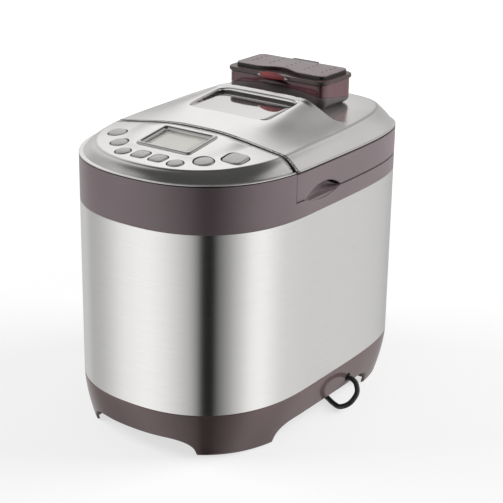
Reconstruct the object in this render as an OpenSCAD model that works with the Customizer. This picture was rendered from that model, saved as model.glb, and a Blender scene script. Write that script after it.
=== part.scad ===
// Bread machine: a D-shaped steel body on a footed base, with a control panel in front, a hinged
// domed lid with a window and a fruit-and-nut dispenser, and a belt-driven pan and paddle inside.
// Front faces -Y, up is +Z, and the origin is on the table under the middle of the body.

/* [Body] */
// Width of the body
body_w = 240; // [220:1:270]
// Distance from the widest line to the front of the body
front_depth = 133; // [125:1:150]
// Distance from the widest line to the back of the body
rear_depth = 213; // [208:1:235]
// Roundness of the front half of the plan, where 2 is an ellipse and more is squarer
front_curve = 2.35; // [2.1:0.05:2.8]
// Roundness of the back half of the plan
rear_curve = 4.7; // [4:0.1:6]
// Height of the footed base's top edge
base_h = 48.5; // [44:0.5:56]
// Height of the band's top rim, where the silver panel and lid begin
rim_h = 282; // [250:1:300]
// Height of the lid's plastic side, from its joint with the band to the rim
lid_side = 30; // [28:0.5:32]
// Height of the plastic band between the steel wrap and the lid's side
band_h = 17; // [14:0.5:19]
// Wall thickness of the plastic mouldings
wall = 2.5; // [2:0.1:3]
// Thickness of the steel wrap
wrap_t = 0.8; // [0.5:0.1:1.2]
// Gap between the lid and what it closes on
joint_gap = 1; // [0.6:0.1:1.4]
// How far the base draws in between its top edge and the table
base_inset = 8.5; // [4:0.5:11]

/* [Base] */
// Height of the bottom plate's underside
floor_h = 20; // [18:0.5:22]
// Thickness of the bottom plate
floor_t = 2.5; // [2:0.1:3]
// Height of the skirt's lower edge between the feet
arch_h = 19; // [14:0.5:19.5]
// Half the width of the arch between the front feet, at the table
front_arch = 68.5; // [55:0.5:74]
// Distance from the widest line forward to the back of the front feet
side_arch_front = 44; // [36:1:52]
// Distance from the widest line back to the front of the rear feet
side_arch_rear = 142; // [130:1:150]
// Width of the curve at each end of an arch
arch_curve = 34; // [20:1:38]
// Radius of a rubber pad
pad_r = 7; // [5:0.5:8]
// Thickness of a rubber pad
pad_t = 4; // [3:0.5:6]
// Radius of the hole that the cord leaves by
cord_hole_r = 5; // [4:0.1:6]
// Height of the cord hole's centre
cord_hole_h = 28; // [26:0.5:30]
// Distance of the cord hole behind the widest line
cord_hole_back = 84.25; // [70:1:90]

/* [Panel and lid] */
// Distance of the joint between panel and lid in front of the widest line
lid_front = 25; // [20:1:30]
// Width of the groove between the panel and the lid
groove = 3; // [2:0.2:4]
// How far the bevel around the top draws in
bevel_in = 16.5; // [13:0.5:19]
// Height of the bevel's crease over the rim at the very front
crease_front = 9; // [7:0.5:11]
// How much higher the crease runs at the back
crease_rise = 13; // [10:0.5:15]
// How much of that rise flattens out towards the back
crease_sag = 1.3; // [0:0.1:2]
// Crown of the top inside the crease
top_crown = 5; // [3:0.5:7]
// Height of the window's ramp at its back ridge
ramp_h = 16; // [12:0.5:18]
// Distance of the ramp's ridge behind the widest line
ridge_back = 88; // [84:1:92]
// Distance of the ramp's start in front of the widest line
ramp_front = 85; // [75:1:95]
// Half the width of the ramp's flat top
ramp_half = 50; // [46:1:54]
// Thickness of the silver panel and lid shells
shell_t = 2.2; // [1.8:0.1:3]
// Half the width of the finger scoop
scoop_half = 32; // [26:1:36]
// Rise of the scoop's arch over the seam
scoop_rise = 11; // [8:0.5:14]
// Drop of the scoop below the seam
scoop_drop = 6; // [3:0.5:8]
// Depth of the scoop behind the wall
scoop_depth = 11; // [8:0.5:12]
// Distance of the scoop's middle behind the widest line
scoop_back = 20; // [12:1:30]
// Radius of the lid's hinge knuckles
knuckle_r = 4.5; // [4:0.1:5]
// Radius of the lid's hinge pins
hinge_pin_r = 2; // [1.5:0.1:2.5]
// Distance of each lid hinge from the middle
hinge_x = 60; // [45:1:70]
// Angle of the panel's controls to the table
panel_tilt = 8.5; // [7:0.5:10]

/* [Window] */
// Half the width of the window
window_half_w = 49; // [44:0.5:49.5]
// Half the depth of the window
window_half_d = 30.5; // [26:0.5:31]
// Distance of the window's middle behind the widest line
window_back = 50.5; // [49:0.5:53]
// Thickness of the window's glass
glass_t = 3; // [2.5:0.5:4]
// How far the glass lies below the lid's surface
glass_drop = 7; // [5:0.5:9]

/* [Dispenser] */
// Half the width of the dispenser's box
box_half_w = 60; // [56:0.5:62]
// Half the depth of the dispenser's box
box_half_d = 29; // [27:0.5:30]
// Distance of the dispenser's middle behind the widest line
box_back = 135.5; // [134:0.5:138]
// Corner radius of the dispenser's box
box_corner = 9; // [6:0.5:12]
// Height of the box's top edge over the rim
box_top = 48; // [46:0.5:52]
// Height of the box's floor over the rim
box_floor = -5; // [-6:0.5:0]
// Wall thickness of the dispenser's box
box_wall = 1.8; // [1.5:0.1:2.2]
// Height of the collar's front edge over the rim, at its middle
collar_front = 41; // [38:0.5:42]
// How much lower the collar's edge lies at its back
collar_fall = 8; // [4:0.5:10]
// Thickness of the dispenser's cover at its rim
cover_t = 4; // [3:0.5:5]
// Height of the cover's raised middle over its rim
plateau_h = 4; // [2.5:0.5:5]
// Radius of a vent hole in the cover
vent_r = 0.9; // [0.6:0.1:1.2]

/* [Oven and pan] */
// Distance of the oven's middle behind the widest line
oven_back = 92; // [88:1:94]
// Half the inner width of the oven
oven_half_w = 98; // [94:1:100]
// Half the inner depth of the oven
oven_half_d = 88; // [84:1:90]
// Corner radius of the oven
oven_corner = 30; // [24:1:34]
// Height of the oven's floor, underside
oven_floor = 60; // [60:0.5:62]
// Thickness of the oven's sheet
oven_t = 1; // [0.8:0.1:1.2]
// Half the outer width of the pan
pan_half_w = 82; // [76:1:84]
// Half the outer depth of the pan
pan_half_d = 72; // [66:1:74]
// Corner radius of the pan
pan_corner = 26; // [18:1:28]
// Depth of the pan's rim below the oven's mouth
pan_drop = 26; // [24:0.5:40]
// Wall thickness of the pan
pan_t = 1.5; // [1.2:0.1:2]
// Radius of the pan's base ring
ring_r = 42; // [38:1:46]
// Radius of the heating element's tube
element_r = 3.5; // [3:0.1:4]

/* [Drive] */
// Radius of the large pulley
large_pulley_r = 50; // [44:1:54]
// Radius of the motor's pulley
small_pulley_r = 8; // [7:0.5:10]
// Distance of the motor in front of the widest line
motor_front = 60; // [56:1:62]
// Radius of the drive shaft
shaft_r = 5; // [4:0.5:6]
// Radius of the pan's own shaft
pan_shaft_r = 4; // [3.5:0.5:5]
// Radius of the motor's shaft
motor_shaft_r = 4; // [3:0.5:5]
// Radial clearance of a shaft in its bearing
shaft_play = 0.05; // [0.02:0.01:0.08]
// Clearance between pieces that move past each other
gap = 0.3; // [0.25:0.05:0.5]
// Width of the belt
belt_w = 8; // [6:0.5:9]
// Thickness of the belt
belt_t = 2; // [1.5:0.1:2.5]

/* [Hidden] */
$fn = 48;

plan_steps = 72;
search_steps = 34;
far = 400;
punch = 40;
eps = 0.01;
foot_h = 1;
base_bow = 1.6;
arch_round = 0.8;

hinge_play = 0.5;
hinge_back = knuckle_r - hinge_play;
total_depth = front_depth + rear_depth + hinge_back + knuckle_r;
wide_y = front_depth - total_depth / 2;
seam_y = wide_y - lid_front;
back_y = wide_y + rear_depth;
oven_y = wide_y + oven_back;
box_y = wide_y + box_back;
window_y = wide_y + window_back;
motor_y = wide_y - motor_front;
hinge_y = back_y + hinge_back;
ridge_y = wide_y + ridge_back;
scoop_y = wide_y + scoop_back;
seam_h = rim_h - lid_side;
wrap_top = seam_h - band_h;
band_top = seam_h - joint_gap / 2;
skirt_low = seam_h + joint_gap / 2;
side_gap = 0.8;

plastic = "#6b5c60";
dark = "#3a3436";
silver = "#d9d7d5";
steel = "#b9b9bb";
maroon = "#7a4a54";
rubber = "#26262a";

// --- Plan of the body ---------------------------------------------------------------------

function curve(y) = y < wide_y ? front_curve : rear_curve;
function depth(y, i) = (y < wide_y ? front_depth : rear_depth) - i;

// 1 on the outline drawn in by i, less inside it
function level(x, y, i) =
    pow(abs(x) / (body_w / 2 - i), curve(y)) + pow(abs(y - wide_y) / depth(y, i), curve(y));

// Distance from (0, cy) to the outline drawn in by i, along angle a
function reach(cy, a, i, lo = 0, hi = far, k = search_steps) =
    let (m = (lo + hi) / 2)
    k == 0 ? m
    : level(m * cos(a), cy + m * sin(a), i) < 1 ? reach(cy, a, i, m, hi, k - 1)
    : reach(cy, a, i, lo, m, k - 1);

// Distance from (0, cy) to the line at y, along angle a
function to_line(cy, a, y) = (y - cy) * sin(a) > eps ? (y - cy) / sin(a) : far;

function outline(i) = [
    for (k = [0:plan_steps - 1])
        let (a = 360 * k / plan_steps, r = reach(wide_y, a, i)) [r * cos(a), wide_y + r * sin(a)]];

// Half the width of the outline at y
function half_w(y, i) =
    (body_w / 2 - i) * pow(1 - pow(abs(y - wide_y) / depth(y, i), curve(y)), 1 / curve(y));

module plan(i) polygon(outline(i));

module ring_plan(i, t)
    difference() {
        plan(i);
        plan(i + t);
    }

// The part of the plan in front of y, or behind it
module front_plan(i, y)
    intersection() {
        plan(i);
        translate([-far / 2, y - far]) square([far, far]);
    }

module rear_plan(i, y)
    intersection() {
        plan(i);
        translate([-far / 2, y]) square([far, far]);
    }

// --- Surface of the top -------------------------------------------------------------------

function clamp01(t) = min(1, max(0, t));
function smooth(t) = let (u = clamp01(t)) u * u * (3 - 2 * u);

side_out = 100;
ridge_fall = 12;
ramp_spread = 40;

function crease_h(y) =
    let (t = (y - wide_y + front_depth) / (front_depth + rear_depth))
    crease_front + crease_rise * t - crease_sag * t * t;
function crown(x, y) = top_crown * (1 - pow(min(1, level(x, y, bevel_in)), 2 / curve(y)));
function ramp(x, y) =
    let (inner = ramp_half * clamp01((y - seam_y) / ramp_spread))
    ramp_h * clamp01((y - wide_y + ramp_front) / (ridge_back + ramp_front))
    * (1 - smooth((abs(x) - inner) / (side_out - inner)))
    * (1 - smooth((y - ridge_y) / ridge_fall));
function top_z(x, y) = rim_h + crease_h(y) + crown(x, y) + ramp(x, y);

// --- Lofted shells ------------------------------------------------------------------------

function quad(a, b, c, d, flip) = flip ? [[a, b, d], [b, c, d]] : [[a, b, c], [a, c, d]];

// Closed shell through rings of points, taken outwards on top, down outside, and back inside
module ring_shell(rings, flip_to = 0) {
    n = len(rings[0]);
    m = len(rings);
    points = [for (ring = rings) for (p = ring) p];
    faces = [
        for (k = [0:m - 1]) for (j = [0:n - 1])
            let (k1 = (k + 1) % m, j1 = (j + 1) % n)
            each quad(k * n + j, k * n + j1, k1 * n + j1, k1 * n + j, j < flip_to)];
    polyhedron(points, faces);
}

// Angles from key to key, each stretch cut into its own number of steps
function fan(keys, steps) = [
    for (s = [0:len(steps) - 1]) for (t = [0:steps[s] - 1])
        keys[s] + (keys[s + 1] - keys[s]) * t / steps[s]];

// Point at distance r from (0, cy) along a, at height z or d below the top surface
function at(cy, a, r, z) = [r * cos(a), cy + r * sin(a), z];
function under(cy, a, r, d) =
    let (x = r * cos(a), y = cy + r * sin(a)) [x, y, top_z(x, y) - d];

function inside_of(cy, a, r) = at(cy, a, r - shell_t, under(cy, a, r, shell_t)[2]);

hole_curve = 9;
SPREAD = [0.12, 0.3, 0.6, 1];
function hole_r(a, w, d) =
    pow(pow(abs(cos(a)) / w, hole_curve) + pow(abs(sin(a)) / d, hole_curve), -1 / hole_curve);

// Dome from a hole out to the crease and down the bevel to the rim, with straight edge at y
module dome_shell(cy, angles, edge_y, hole_w, hole_d, ledge_w, ledge_d, seat) {
    into = sign(cy - edge_y) * wall;
    function crease_r(a, i, y) = min(reach(cy, a, bevel_in + i), to_line(cy, a, y));
    function rim_r(a, i, y) = min(reach(cy, a, i), to_line(cy, a, y));
    function mix_r(a, f) =
        let (inner = hole_r(a, ledge_w, ledge_d)) inner + (crease_r(a, 0, edge_y) - inner) * f;
    function seated(a, w, d, drop) =
        let (p = at(cy, a, hole_r(a, w, d), 0)) [p[0], p[1], seat(p[0], p[1]) - drop];
    hole = [for (a = angles) seated(a, hole_w, hole_d, 0)];
    ledge = [for (a = angles) seated(a, ledge_w, ledge_d, 0)];
    spread = [for (f = SPREAD) [for (a = angles) under(cy, a, mix_r(a, f), 0)]];
    rim = [for (a = angles) at(cy, a, rim_r(a, 0, edge_y), rim_h)];
    rim_in = [for (a = angles) at(cy, a, rim_r(a, wall, edge_y + into), rim_h)];
    crease_in = [for (a = angles) under(cy, a, crease_r(a, wall / 2, edge_y + into), shell_t)];
    ledge_in = [for (a = angles) seated(a, ledge_w - shell_t, ledge_d - shell_t, shell_t)];
    fall_in = [for (a = angles) inside_of(cy, a, mix_r(a, SPREAD[0]))];
    hole_in = [for (a = angles) seated(a, hole_w, hole_d, shell_t)];
    ring_shell(concat([hole, ledge], spread, [rim, rim_in, crease_in, fall_in, ledge_in, hole_in]), 1);
}

// --- Small shapes -------------------------------------------------------------------------

module soft_square(w, d, r) {
    square([2 * w, 2 * (d - r)], center = true);
    square([2 * (w - r), 2 * d], center = true);
    for (x = [-1, 1], y = [-1, 1])
        translate([x * (w - r), y * (d - r)]) circle(r);
}

module soft_block(w, d, r, h) linear_extrude(h) soft_square(w, d, r);

module soft_tube(w, d, r, t, h)
    linear_extrude(h) difference() {
        soft_square(w, d, r);
        soft_square(w - t, d - t, r - t);
    }

module pipe(outer, inner, h)
    difference() {
        cylinder(h, r = outer);
        translate([0, 0, -eps]) cylinder(h + 2 * eps, r = inner);
    }

module both_sides() {
    children();
    mirror([1, 0, 0]) children();
}

// Cylinder along X, centred on x
module bar_x(r, length) rotate([0, 90, 0]) cylinder(length, r = r, center = true);

// --- Base ---------------------------------------------------------------------------------

skirt_steps = 4;
arch_step = 15;
boss_r = pad_r + 2;
pad_front_in = 40;
pad_rear_in = 36;
pad_front_fore = 12;
pad_rear_fore = 37;
pad_front_x = body_w / 2 - pad_front_in;
pad_rear_x = body_w / 2 - pad_rear_in;
pad_front_y = motor_y - pad_front_fore;
pad_rear_y = back_y - pad_rear_fore;
pad_places = [
    [pad_front_x, pad_front_y], [-pad_front_x, pad_front_y],
    [pad_rear_x, pad_rear_y], [-pad_rear_x, pad_rear_y]];
rod_r = 2.5;
rod_room = 2.5;
rod_front_in = 20;
rod_rear_in = 29;
rod_front_fore = 12;
rod_front_x = body_w / 2 - rod_front_in;
rod_rear_x = body_w / 2 - rod_rear_in;
rod_front_y = wide_y - rod_front_fore;
rod_rear_y = oven_y + oven_half_d + oven_t + rod_room + rod_r;
rod_places = [
    [rod_front_x, rod_front_y], [-rod_front_x, rod_front_y],
    [rod_rear_x, rod_rear_y], [-rod_rear_x, rod_rear_y]];
plate_top = floor_h + floor_t;

// How far the base has drawn in at height z
function base_draw(z) = base_inset * pow(1 - z / base_h, base_bow);
function skirt_z(k) = foot_h + (base_h - foot_h) * k / skirt_steps;

// Arch from u1 to u2 along the first axis, with rounded ends
function arch(u1, u2) = let (bend = [0:arch_step:90]) concat(
    [[u1, -eps]],
    [for (p = bend)
        [u1 + arch_curve * (1 - pow(cos(p), arch_round)), arch_h * pow(sin(p), arch_round)]],
    [for (p = bend)
        [u2 - arch_curve * (1 - pow(sin(p), arch_round)), arch_h * pow(cos(p), arch_round)]],
    [[u2, -eps]]);

module skirt() {
    function ring(i, z) = [for (p = outline(i)) [p[0], p[1], z]];
    out = [for (k = [skirt_steps:-1:0]) ring(base_draw(skirt_z(k)), skirt_z(k))];
    in = [for (k = [0, 2, skirt_steps]) ring(base_draw(skirt_z(k)) + wall, skirt_z(k))];
    ring_shell(concat(out, in));
}

module base_housing() color(plastic) difference() {
    union() {
        difference() {
            skirt();
            rotate([90, 0, 0]) linear_extrude(2 * far, center = true)
                polygon(arch(-front_arch, front_arch));
            translate([0, wide_y, 0]) rotate([90, 0, 90]) linear_extrude(2 * far, center = true)
                polygon(arch(-side_arch_front, side_arch_rear));
        }
        translate([0, 0, floor_h]) linear_extrude(floor_t) plan(base_draw(floor_h) + wall / 2);
        for (p = pad_places)
            translate([p[0], p[1], foot_h]) cylinder(floor_h - foot_h + eps, r = boss_r);
        cord_seat();
    }
    for (p = pad_places)
        translate([p[0], p[1], 0]) cylinder(pad_t, r = pad_r);
    translate([0, wide_y + cord_hole_back, cord_hole_h]) rotate([0, 90, 0])
        cylinder(body_w, r = cord_hole_r);
    bottom_vents();
}

// Block inside the skirt that the cord's strain relief sits in
module cord_seat()
    translate([seat_x, wide_y + cord_hole_back - seat_w / 2, plate_top - eps])
        cube([seat_l, seat_w, cord_hole_h + cord_hole_r + wall - plate_top]);

seat_in = 26;
seat_x = body_w / 2 - seat_in;
seat_l = 20;
seat_w = 16;
vent_w = 3;
vent_l = 50;
vent_step = 8;
vent_count = 5;

module bottom_vents()
    for (k = [0:vent_count - 1])
        translate([(k - (vent_count - 1) / 2) * vent_step - vent_w / 2, motor_y - vent_l / 2, 0])
            cube([vent_w, vent_l, plate_top + eps]);

module rubber_feet() color(rubber)
    for (p = pad_places)
        translate([p[0], p[1], 0]) cylinder(pad_t, r = pad_r);

module body_wrap() color(steel)
    translate([0, 0, base_h]) linear_extrude(wrap_top - base_h) ring_plan(0, wrap_t);

module tie_rods() color("silver")
    for (p = rod_places)
        translate([p[0], p[1], plate_top]) cylinder(deck_low - plate_top, r = rod_r);

// --- Band and deck ------------------------------------------------------------------------

flange_drop = 2;
flange_h = seam_h - flange_drop;
deck_t = 2.5;
deck_low = flange_h - oven_t - deck_t;
flange_out = 8;
knuckle_w = 8;
lid_knuckle_half = 7.7;
knuckle_play = 0.5;

// Radius of the circle whose chord is 2 * half and whose height is rise
function arc_r(half, rise) = (half * half + rise * rise) / (2 * rise);

// Half-moon that the finger scoop cuts: an arch over the seam and a dip below it
module scoop_cut(inner, length) {
    up = arc_r(scoop_half, scoop_rise);
    down = arc_r(scoop_half, scoop_drop);
    translate([inner, scoop_y, seam_h]) rotate([90, 0, 90]) linear_extrude(length) {
        intersection() {
            translate([0, scoop_rise - up]) circle(up);
            translate([0, down - scoop_drop]) circle(down);
        }
    }
}

pocket_wall = 1.5;
pocket_in = body_w / 2 - scoop_depth;

module scoop_pocket() {
    low = seam_h - scoop_drop - pocket_wall;
    intersection() {
        translate([pocket_in - pocket_wall, scoop_y - scoop_half - pocket_wall, low])
            cube([scoop_depth + pocket_wall, 2 * (scoop_half + pocket_wall), band_top - low]);
        translate([0, 0, low]) linear_extrude(band_top - low) plan(wall / 2);
    }
}

knuckle_web = 12;

// Hinge barrel with a web to the wall, above the seam (up = 1) or below it (up = -1)
module knuckle(width, up) {
    bar_x(knuckle_r, width);
    translate([-width / 2, -knuckle_web, up > 0 ? joint_gap / 2 : -knuckle_r])
        cube([width, knuckle_web, knuckle_r - joint_gap / 2]);
}

module body_knuckles() difference() {
    for (s = [-1, 1], e = [-1, 1])
        translate([s * hinge_x + e * (lid_knuckle_half + gap + knuckle_w / 2), hinge_y, seam_h])
            knuckle(knuckle_w, -1);
    linear_extrude(far) plan(wall / 2);
}

module top_frame() color(plastic) {
    deck_y = seam_y - side_gap / 2 - wall;
    difference() {
        union() {
            translate([0, 0, wrap_top]) linear_extrude(band_top - wrap_top) ring_plan(0, wall);
            translate([0, 0, band_top - eps]) linear_extrude(rim_h - band_top + eps) difference() {
                front_plan(0, seam_y - side_gap / 2);
                front_plan(wall, deck_y);
            }
            translate([0, 0, deck_low]) linear_extrude(band_top - deck_low) intersection() {
                front_plan(wall / 2, seam_y - side_gap / 2);
                translate([-far / 2, deck_y]) square([far, wall]);
            }
            translate([0, 0, deck_low]) linear_extrude(deck_t) difference() {
                rear_plan(wall / 2, deck_y);
                translate([0, oven_y])
                    soft_square(oven_half_w + oven_t + gap, oven_half_d + oven_t + gap,
                        oven_corner + oven_t + gap);
            }
            both_sides() scoop_pocket();
            body_knuckles();
        }
        both_sides() scoop_cut(pocket_in, far);
        for (s = [-1, 1])
            translate([s * hinge_x, hinge_y, seam_h])
                bar_x(knuckle_r + knuckle_play, 2 * (lid_knuckle_half + gap));
        translate([0, hinge_y, seam_h]) bar_x(hinge_pin_r, body_w);
    }
}

pin_half = lid_knuckle_half + gap + knuckle_w;

module hinge_pins() color("silver")
    for (s = [-1, 1])
        translate([s * hinge_x, hinge_y, seam_h]) bar_x(hinge_pin_r, 2 * pin_half);

// --- Control panel ------------------------------------------------------------------------

lcd_front = 57;
lcd_y = wide_y - lcd_front;
lcd_half_w = 33;
lcd_half_d = 24;
lcd_frame = 5.5;
lcd_corner = 3;
lcd_neck_r = 6;
lcd_rise = 1.2;
lcd_sink = 0.06;
lcd_lip = 2.5;
lcd_glass_t = 2;
panel_y = seam_y - groove / 2;
board_drop = 17;
board_t = 1.6;
board_in = 14;
post_in = 8;
post_r = 2.5;
switch_s = 6;
switch_h = 4;
travel = 1.2;
button_proud = 1.6;
cap_t = 4.5;
stem_r = 2;

// Each button's place from the middle and the widest line, its radius, and its half side if it is square
BUTTONS = [
    [-71.5, -61, 9.3, 0], [-50.5, -83, 8.8, 0], [-31.5, -100, 7.6, 0], [-10.5, -98.5, 4.5, 8],
    [10.5, -98.5, 4.5, 8], [32, -100, 7.8, 0], [52, -82.5, 9.7, 0], [72.5, -60.5, 7.5, 11.4]];

module on_panel(x, y, z) translate([x, y, z]) rotate([panel_tilt, 0, 0]) children();
module at_lcd(off) on_panel(0, lcd_y, top_z(0, lcd_y)) translate([0, 0, off]) children();
module at_button(k, off) {
    x = BUTTONS[k][0];
    y = wide_y + BUTTONS[k][1];
    on_panel(x, y, top_z(x, y)) translate([0, 0, off]) children();
}

// Height at y of the plane through the middle of the display, drop below it
function panel_plane(y, drop = 0) =
    top_z(0, lcd_y) + (y - lcd_y) * tan(panel_tilt) - drop / cos(panel_tilt);

module button_plan(k, grow) {
    r = BUTTONS[k][2] + grow;
    half = BUTTONS[k][3] + grow;
    if (BUTTONS[k][3] > 0) soft_square(half, half, r);
    else circle(r);
}

function stem_l(k) =
    let (x = BUTTONS[k][0], y = wide_y + BUTTONS[k][1])
    (top_z(x, y) - panel_plane(y, board_drop)) * cos(panel_tilt)
    + button_proud - cap_t - switch_h - travel - gap;

module button(k) color("#b5b2b0") {
    at_button(k, button_proud) {
        translate([0, 0, -cap_t]) linear_extrude(cap_t) button_plan(k, 0);
        translate([0, 0, -cap_t - stem_l(k)]) cylinder(stem_l(k) + eps, r = stem_r);
    }
}

module menu_button() button(0);
module crust_button() button(1);
module loaf_button() button(2);
module time_up_button() button(3);
module time_down_button() button(4);
module light_button() button(5);
module stop_button() button(6);
module start_button() button(7);

panel_depth = seam_y - groove / 2 - lcd_y;
dome_front_steps = 20;
panel_side_steps = 42;

module control_panel() color(silver) {
    rim_a = atan2(panel_depth, half_w(panel_y, 0));
    crease_a = atan2(panel_depth, half_w(panel_y, bevel_in));
    angles = fan([rim_a, crease_a, 180 - crease_a, 180 - rim_a, 360 + rim_a], [1, dome_front_steps, 1, panel_side_steps]);
    difference() {
        dome_shell(lcd_y, angles, panel_y, lcd_half_w - lcd_lip, lcd_half_d - lcd_lip,
            lcd_half_w + lcd_lip, lcd_half_d + lcd_lip, function(x, y) panel_plane(y));
        for (k = [0:len(BUTTONS) - 1])
            at_button(k, -cap_t - punch / 4) linear_extrude(punch) button_plan(k, gap);
    }
}

module lcd_bezel() color("#a9a6a3")
    at_lcd(0) difference() {
        union() {
            translate([0, 0, lcd_sink]) soft_block(lcd_half_w, lcd_half_d, lcd_corner, lcd_rise);
            translate([0, 0, -shell_t - 1])
                soft_block(lcd_half_w - lcd_lip - 1, lcd_half_d - lcd_lip - 1, lcd_neck_r, shell_t + 1 + eps);
        }
        translate([0, 0, -far / 2])
            soft_block(lcd_half_w - lcd_frame, lcd_half_d - lcd_frame, lcd_corner, far);
    }

module lcd_lens() color("#dddcd6")
    at_lcd(-shell_t - 1 - lcd_glass_t)
        soft_block(lcd_half_w - lcd_lip - 1, lcd_half_d - lcd_lip - 1, lcd_neck_r, lcd_glass_t);

module control_board() color("#3f6b47") {
    post = board_drop - shell_t - 1 - lcd_glass_t;
    intersection() {
        at_lcd(-board_drop - board_t) translate([-far / 2, -far / 2, 0]) cube([far, far, board_t]);
        linear_extrude(far) front_plan(board_in, panel_y - board_in / 2);
    }
    for (x = [-1, 1], y = [-1, 1])
        at_lcd(-board_drop)
            translate([x * (lcd_half_w - post_in), y * (lcd_half_d - post_in), -eps])
                cylinder(post + eps, r = post_r);
}

module tact_switches() color(dark)
    for (b = BUTTONS)
        on_panel(b[0], wide_y + b[1], panel_plane(wide_y + b[1], board_drop))
            translate([-switch_s / 2, -switch_s / 2, 0]) cube([switch_s, switch_s, switch_h]);

// --- Lid ----------------------------------------------------------------------------------

lid_side_steps = 46;
lid_y = seam_y + groove / 2;
skirt_y = seam_y + side_gap / 2;
liner_rise = 3;
liner_h = seam_h + liner_rise;
liner_t = 1.5;
seal_w = 7;
seal_out = 4;
bezel_wall = 2;

module lid_cover() color(silver) {
    reach_y = lid_y - window_y;
    rim_a = atan2(reach_y, half_w(lid_y, 0));
    crease_a = atan2(reach_y, half_w(lid_y, bevel_in));
    angles = fan([180 - rim_a, 180 - crease_a, 360 + crease_a, 360 + rim_a, 540 - rim_a], [1, dome_front_steps, 1, lid_side_steps]);
    difference() {
        dome_shell(window_y, angles, lid_y, window_half_w, window_half_d,
            ramp_half + 3, ridge_y - window_y, function(x, y) top_z(x, y));
        translate([0, box_y, rim_h]) soft_block(throat_w, throat_d, box_corner - 3, far);
    }
}

module lid_skirt() color(plastic) difference() {
    union() {
        translate([0, 0, skirt_low]) linear_extrude(rim_h - skirt_low) difference() {
            rear_plan(0, skirt_y);
            rear_plan(wall, skirt_y + wall);
        }
        both_sides() lid_pocket();
        difference() {
            for (s = [-1, 1])
                translate([s * hinge_x, hinge_y, seam_h]) knuckle(2 * lid_knuckle_half, 1);
            linear_extrude(far) plan(wall / 2);
        }
    }
    both_sides() scoop_cut(pocket_in, far);
    for (s = [-1, 1]) {
        for (e = [-1, 1])
            translate([s * hinge_x + e * (lid_knuckle_half + gap + knuckle_w / 2), hinge_y, seam_h])
                bar_x(knuckle_r + knuckle_play, knuckle_w + 2 * gap);
        translate([s * hinge_x, hinge_y, seam_h]) bar_x(hinge_pin_r + shaft_play, punch);
    }
}

// Back of the finger scoop inside the lid
module lid_pocket() {
    high = seam_h + scoop_rise + pocket_wall;
    intersection() {
        translate([pocket_in - pocket_wall, scoop_y - scoop_half - pocket_wall, skirt_low])
            cube([scoop_depth + pocket_wall, 2 * (scoop_half + pocket_wall), high - skirt_low]);
        translate([0, 0, skirt_low]) linear_extrude(high - skirt_low) plan(wall / 2);
    }
}

module lid_liner() color("#8d8b8a") {
    difference() {
        translate([0, 0, liner_h]) linear_extrude(liner_t) difference() {
            rear_plan(wall, skirt_y + wall);
            for (s = [-1, 1])
                translate([s * (body_w / 2), scoop_y])
                    square([2 * (scoop_depth + pocket_wall), 2 * (scoop_half + pocket_wall)], center = true);
            translate([0, window_y])
                soft_square(window_half_w - bezel_wall, window_half_d - bezel_wall, lcd_corner);
            translate([0, box_y]) soft_square(throat_w, throat_d, box_corner - 3);
        }
    }
    difference() {
        translate([0, box_y, liner_h]) soft_tube(throat_w + box_wall, throat_d + box_wall,
            box_corner - 1, box_wall, throat_top - liner_h);
        translate([0, coil_y, flap_axis_h]) rotate([0, 90, 0]) cylinder(far, r = plunger_r + gap);
    }
}

module lid_seal() color("#c9c4c0")
    translate([0, oven_y, flange_h + gap])
        soft_tube(oven_half_w + seal_out, oven_half_d + seal_out, oven_corner + seal_out, seal_w,
            liner_h - flange_h - gap);

window_rise = 0.12;
window_slope = atan(window_rise);
glass_corner = 6;
bezel_drop = 1.5;
window_z = top_z(window_half_w, window_y) + 1;

module window_bezel() color(dark) difference() {
    translate([0, window_y, liner_h + liner_t]) difference() {
        soft_tube(window_half_w + bezel_wall, window_half_d + bezel_wall, glass_corner + 1,
            bezel_wall, far / 8);
        translate([0, 0, window_z - glass_drop - liner_h - liner_t]) rotate([window_slope, 0, 0])
            translate([0, 0, -glass_t]) soft_block(window_half_w + 1, window_half_d + 1, glass_corner, glass_t);
    }
    translate([0, window_y, window_z - shell_t - bezel_drop]) rotate([window_slope, 0, 0])
        translate([-far / 2, -far / 2, 0]) cube(far);
}

module window_glass() color("#cfd4d6", 0.4)
    translate([0, window_y, window_z - glass_drop]) rotate([window_slope, 0, 0])
        translate([0, 0, -glass_t]) soft_block(window_half_w + 1, window_half_d + 1, glass_corner, glass_t);

// --- Dispenser ----------------------------------------------------------------------------

collar_wall = 2;
collar_taper = 6;
throat_in_w = 9.5;
throat_in_d = 8;
throat_rise = 12;
throat_w = box_half_w - throat_in_w;
throat_d = box_half_d - throat_in_d;
throat_top = rim_h + throat_rise;
corner_steps = 4;
side_steps = 5;
collar_arch = 6;
flap_t = 1.6;
flap_half_w = 43.5;
flap_half_d = 16;
barrel_r = 2.4;
flap_pin_r = 1;
box_hinge_x = 16;
cover_pin_r = 1.2;
lug_w = 4;

// Rounded rectangle with points along its sides as well as round its corners
function soft_ring(w, d, r) = [
    for (c = [0:3])
        let (sx = (c == 0 || c == 3) ? 1 : -1, sy = c < 2 ? 1 : -1,
            nx = (c == 1 || c == 2) ? -1 : 1,
            p = [sx * (w - r), sy * (d - r)],
            end = p + r * [cos(90 * c + 90), sin(90 * c + 90)],
            c2 = (c + 1) % 4,
            q = [((c2 == 0 || c2 == 3) ? 1 : -1) * (w - r), (c2 < 2 ? 1 : -1) * (d - r)],
            next = q + r * [cos(90 * c2), sin(90 * c2)])
        each concat(
            [for (k = [0:corner_steps])
                let (a = 90 * c + 90 * k / corner_steps) p + r * [cos(a), sin(a)]],
            [for (k = [1:side_steps]) end + (next - end) * k / (side_steps + 1)])];

// Height of the collar's curved top edge at x, y from the dispenser's middle
function collar_z(x, y) =
    rim_h + collar_front - collar_arch * pow(x / box_half_w, 2)
    - collar_fall * (y + box_half_d) / (2 * box_half_d);

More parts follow.
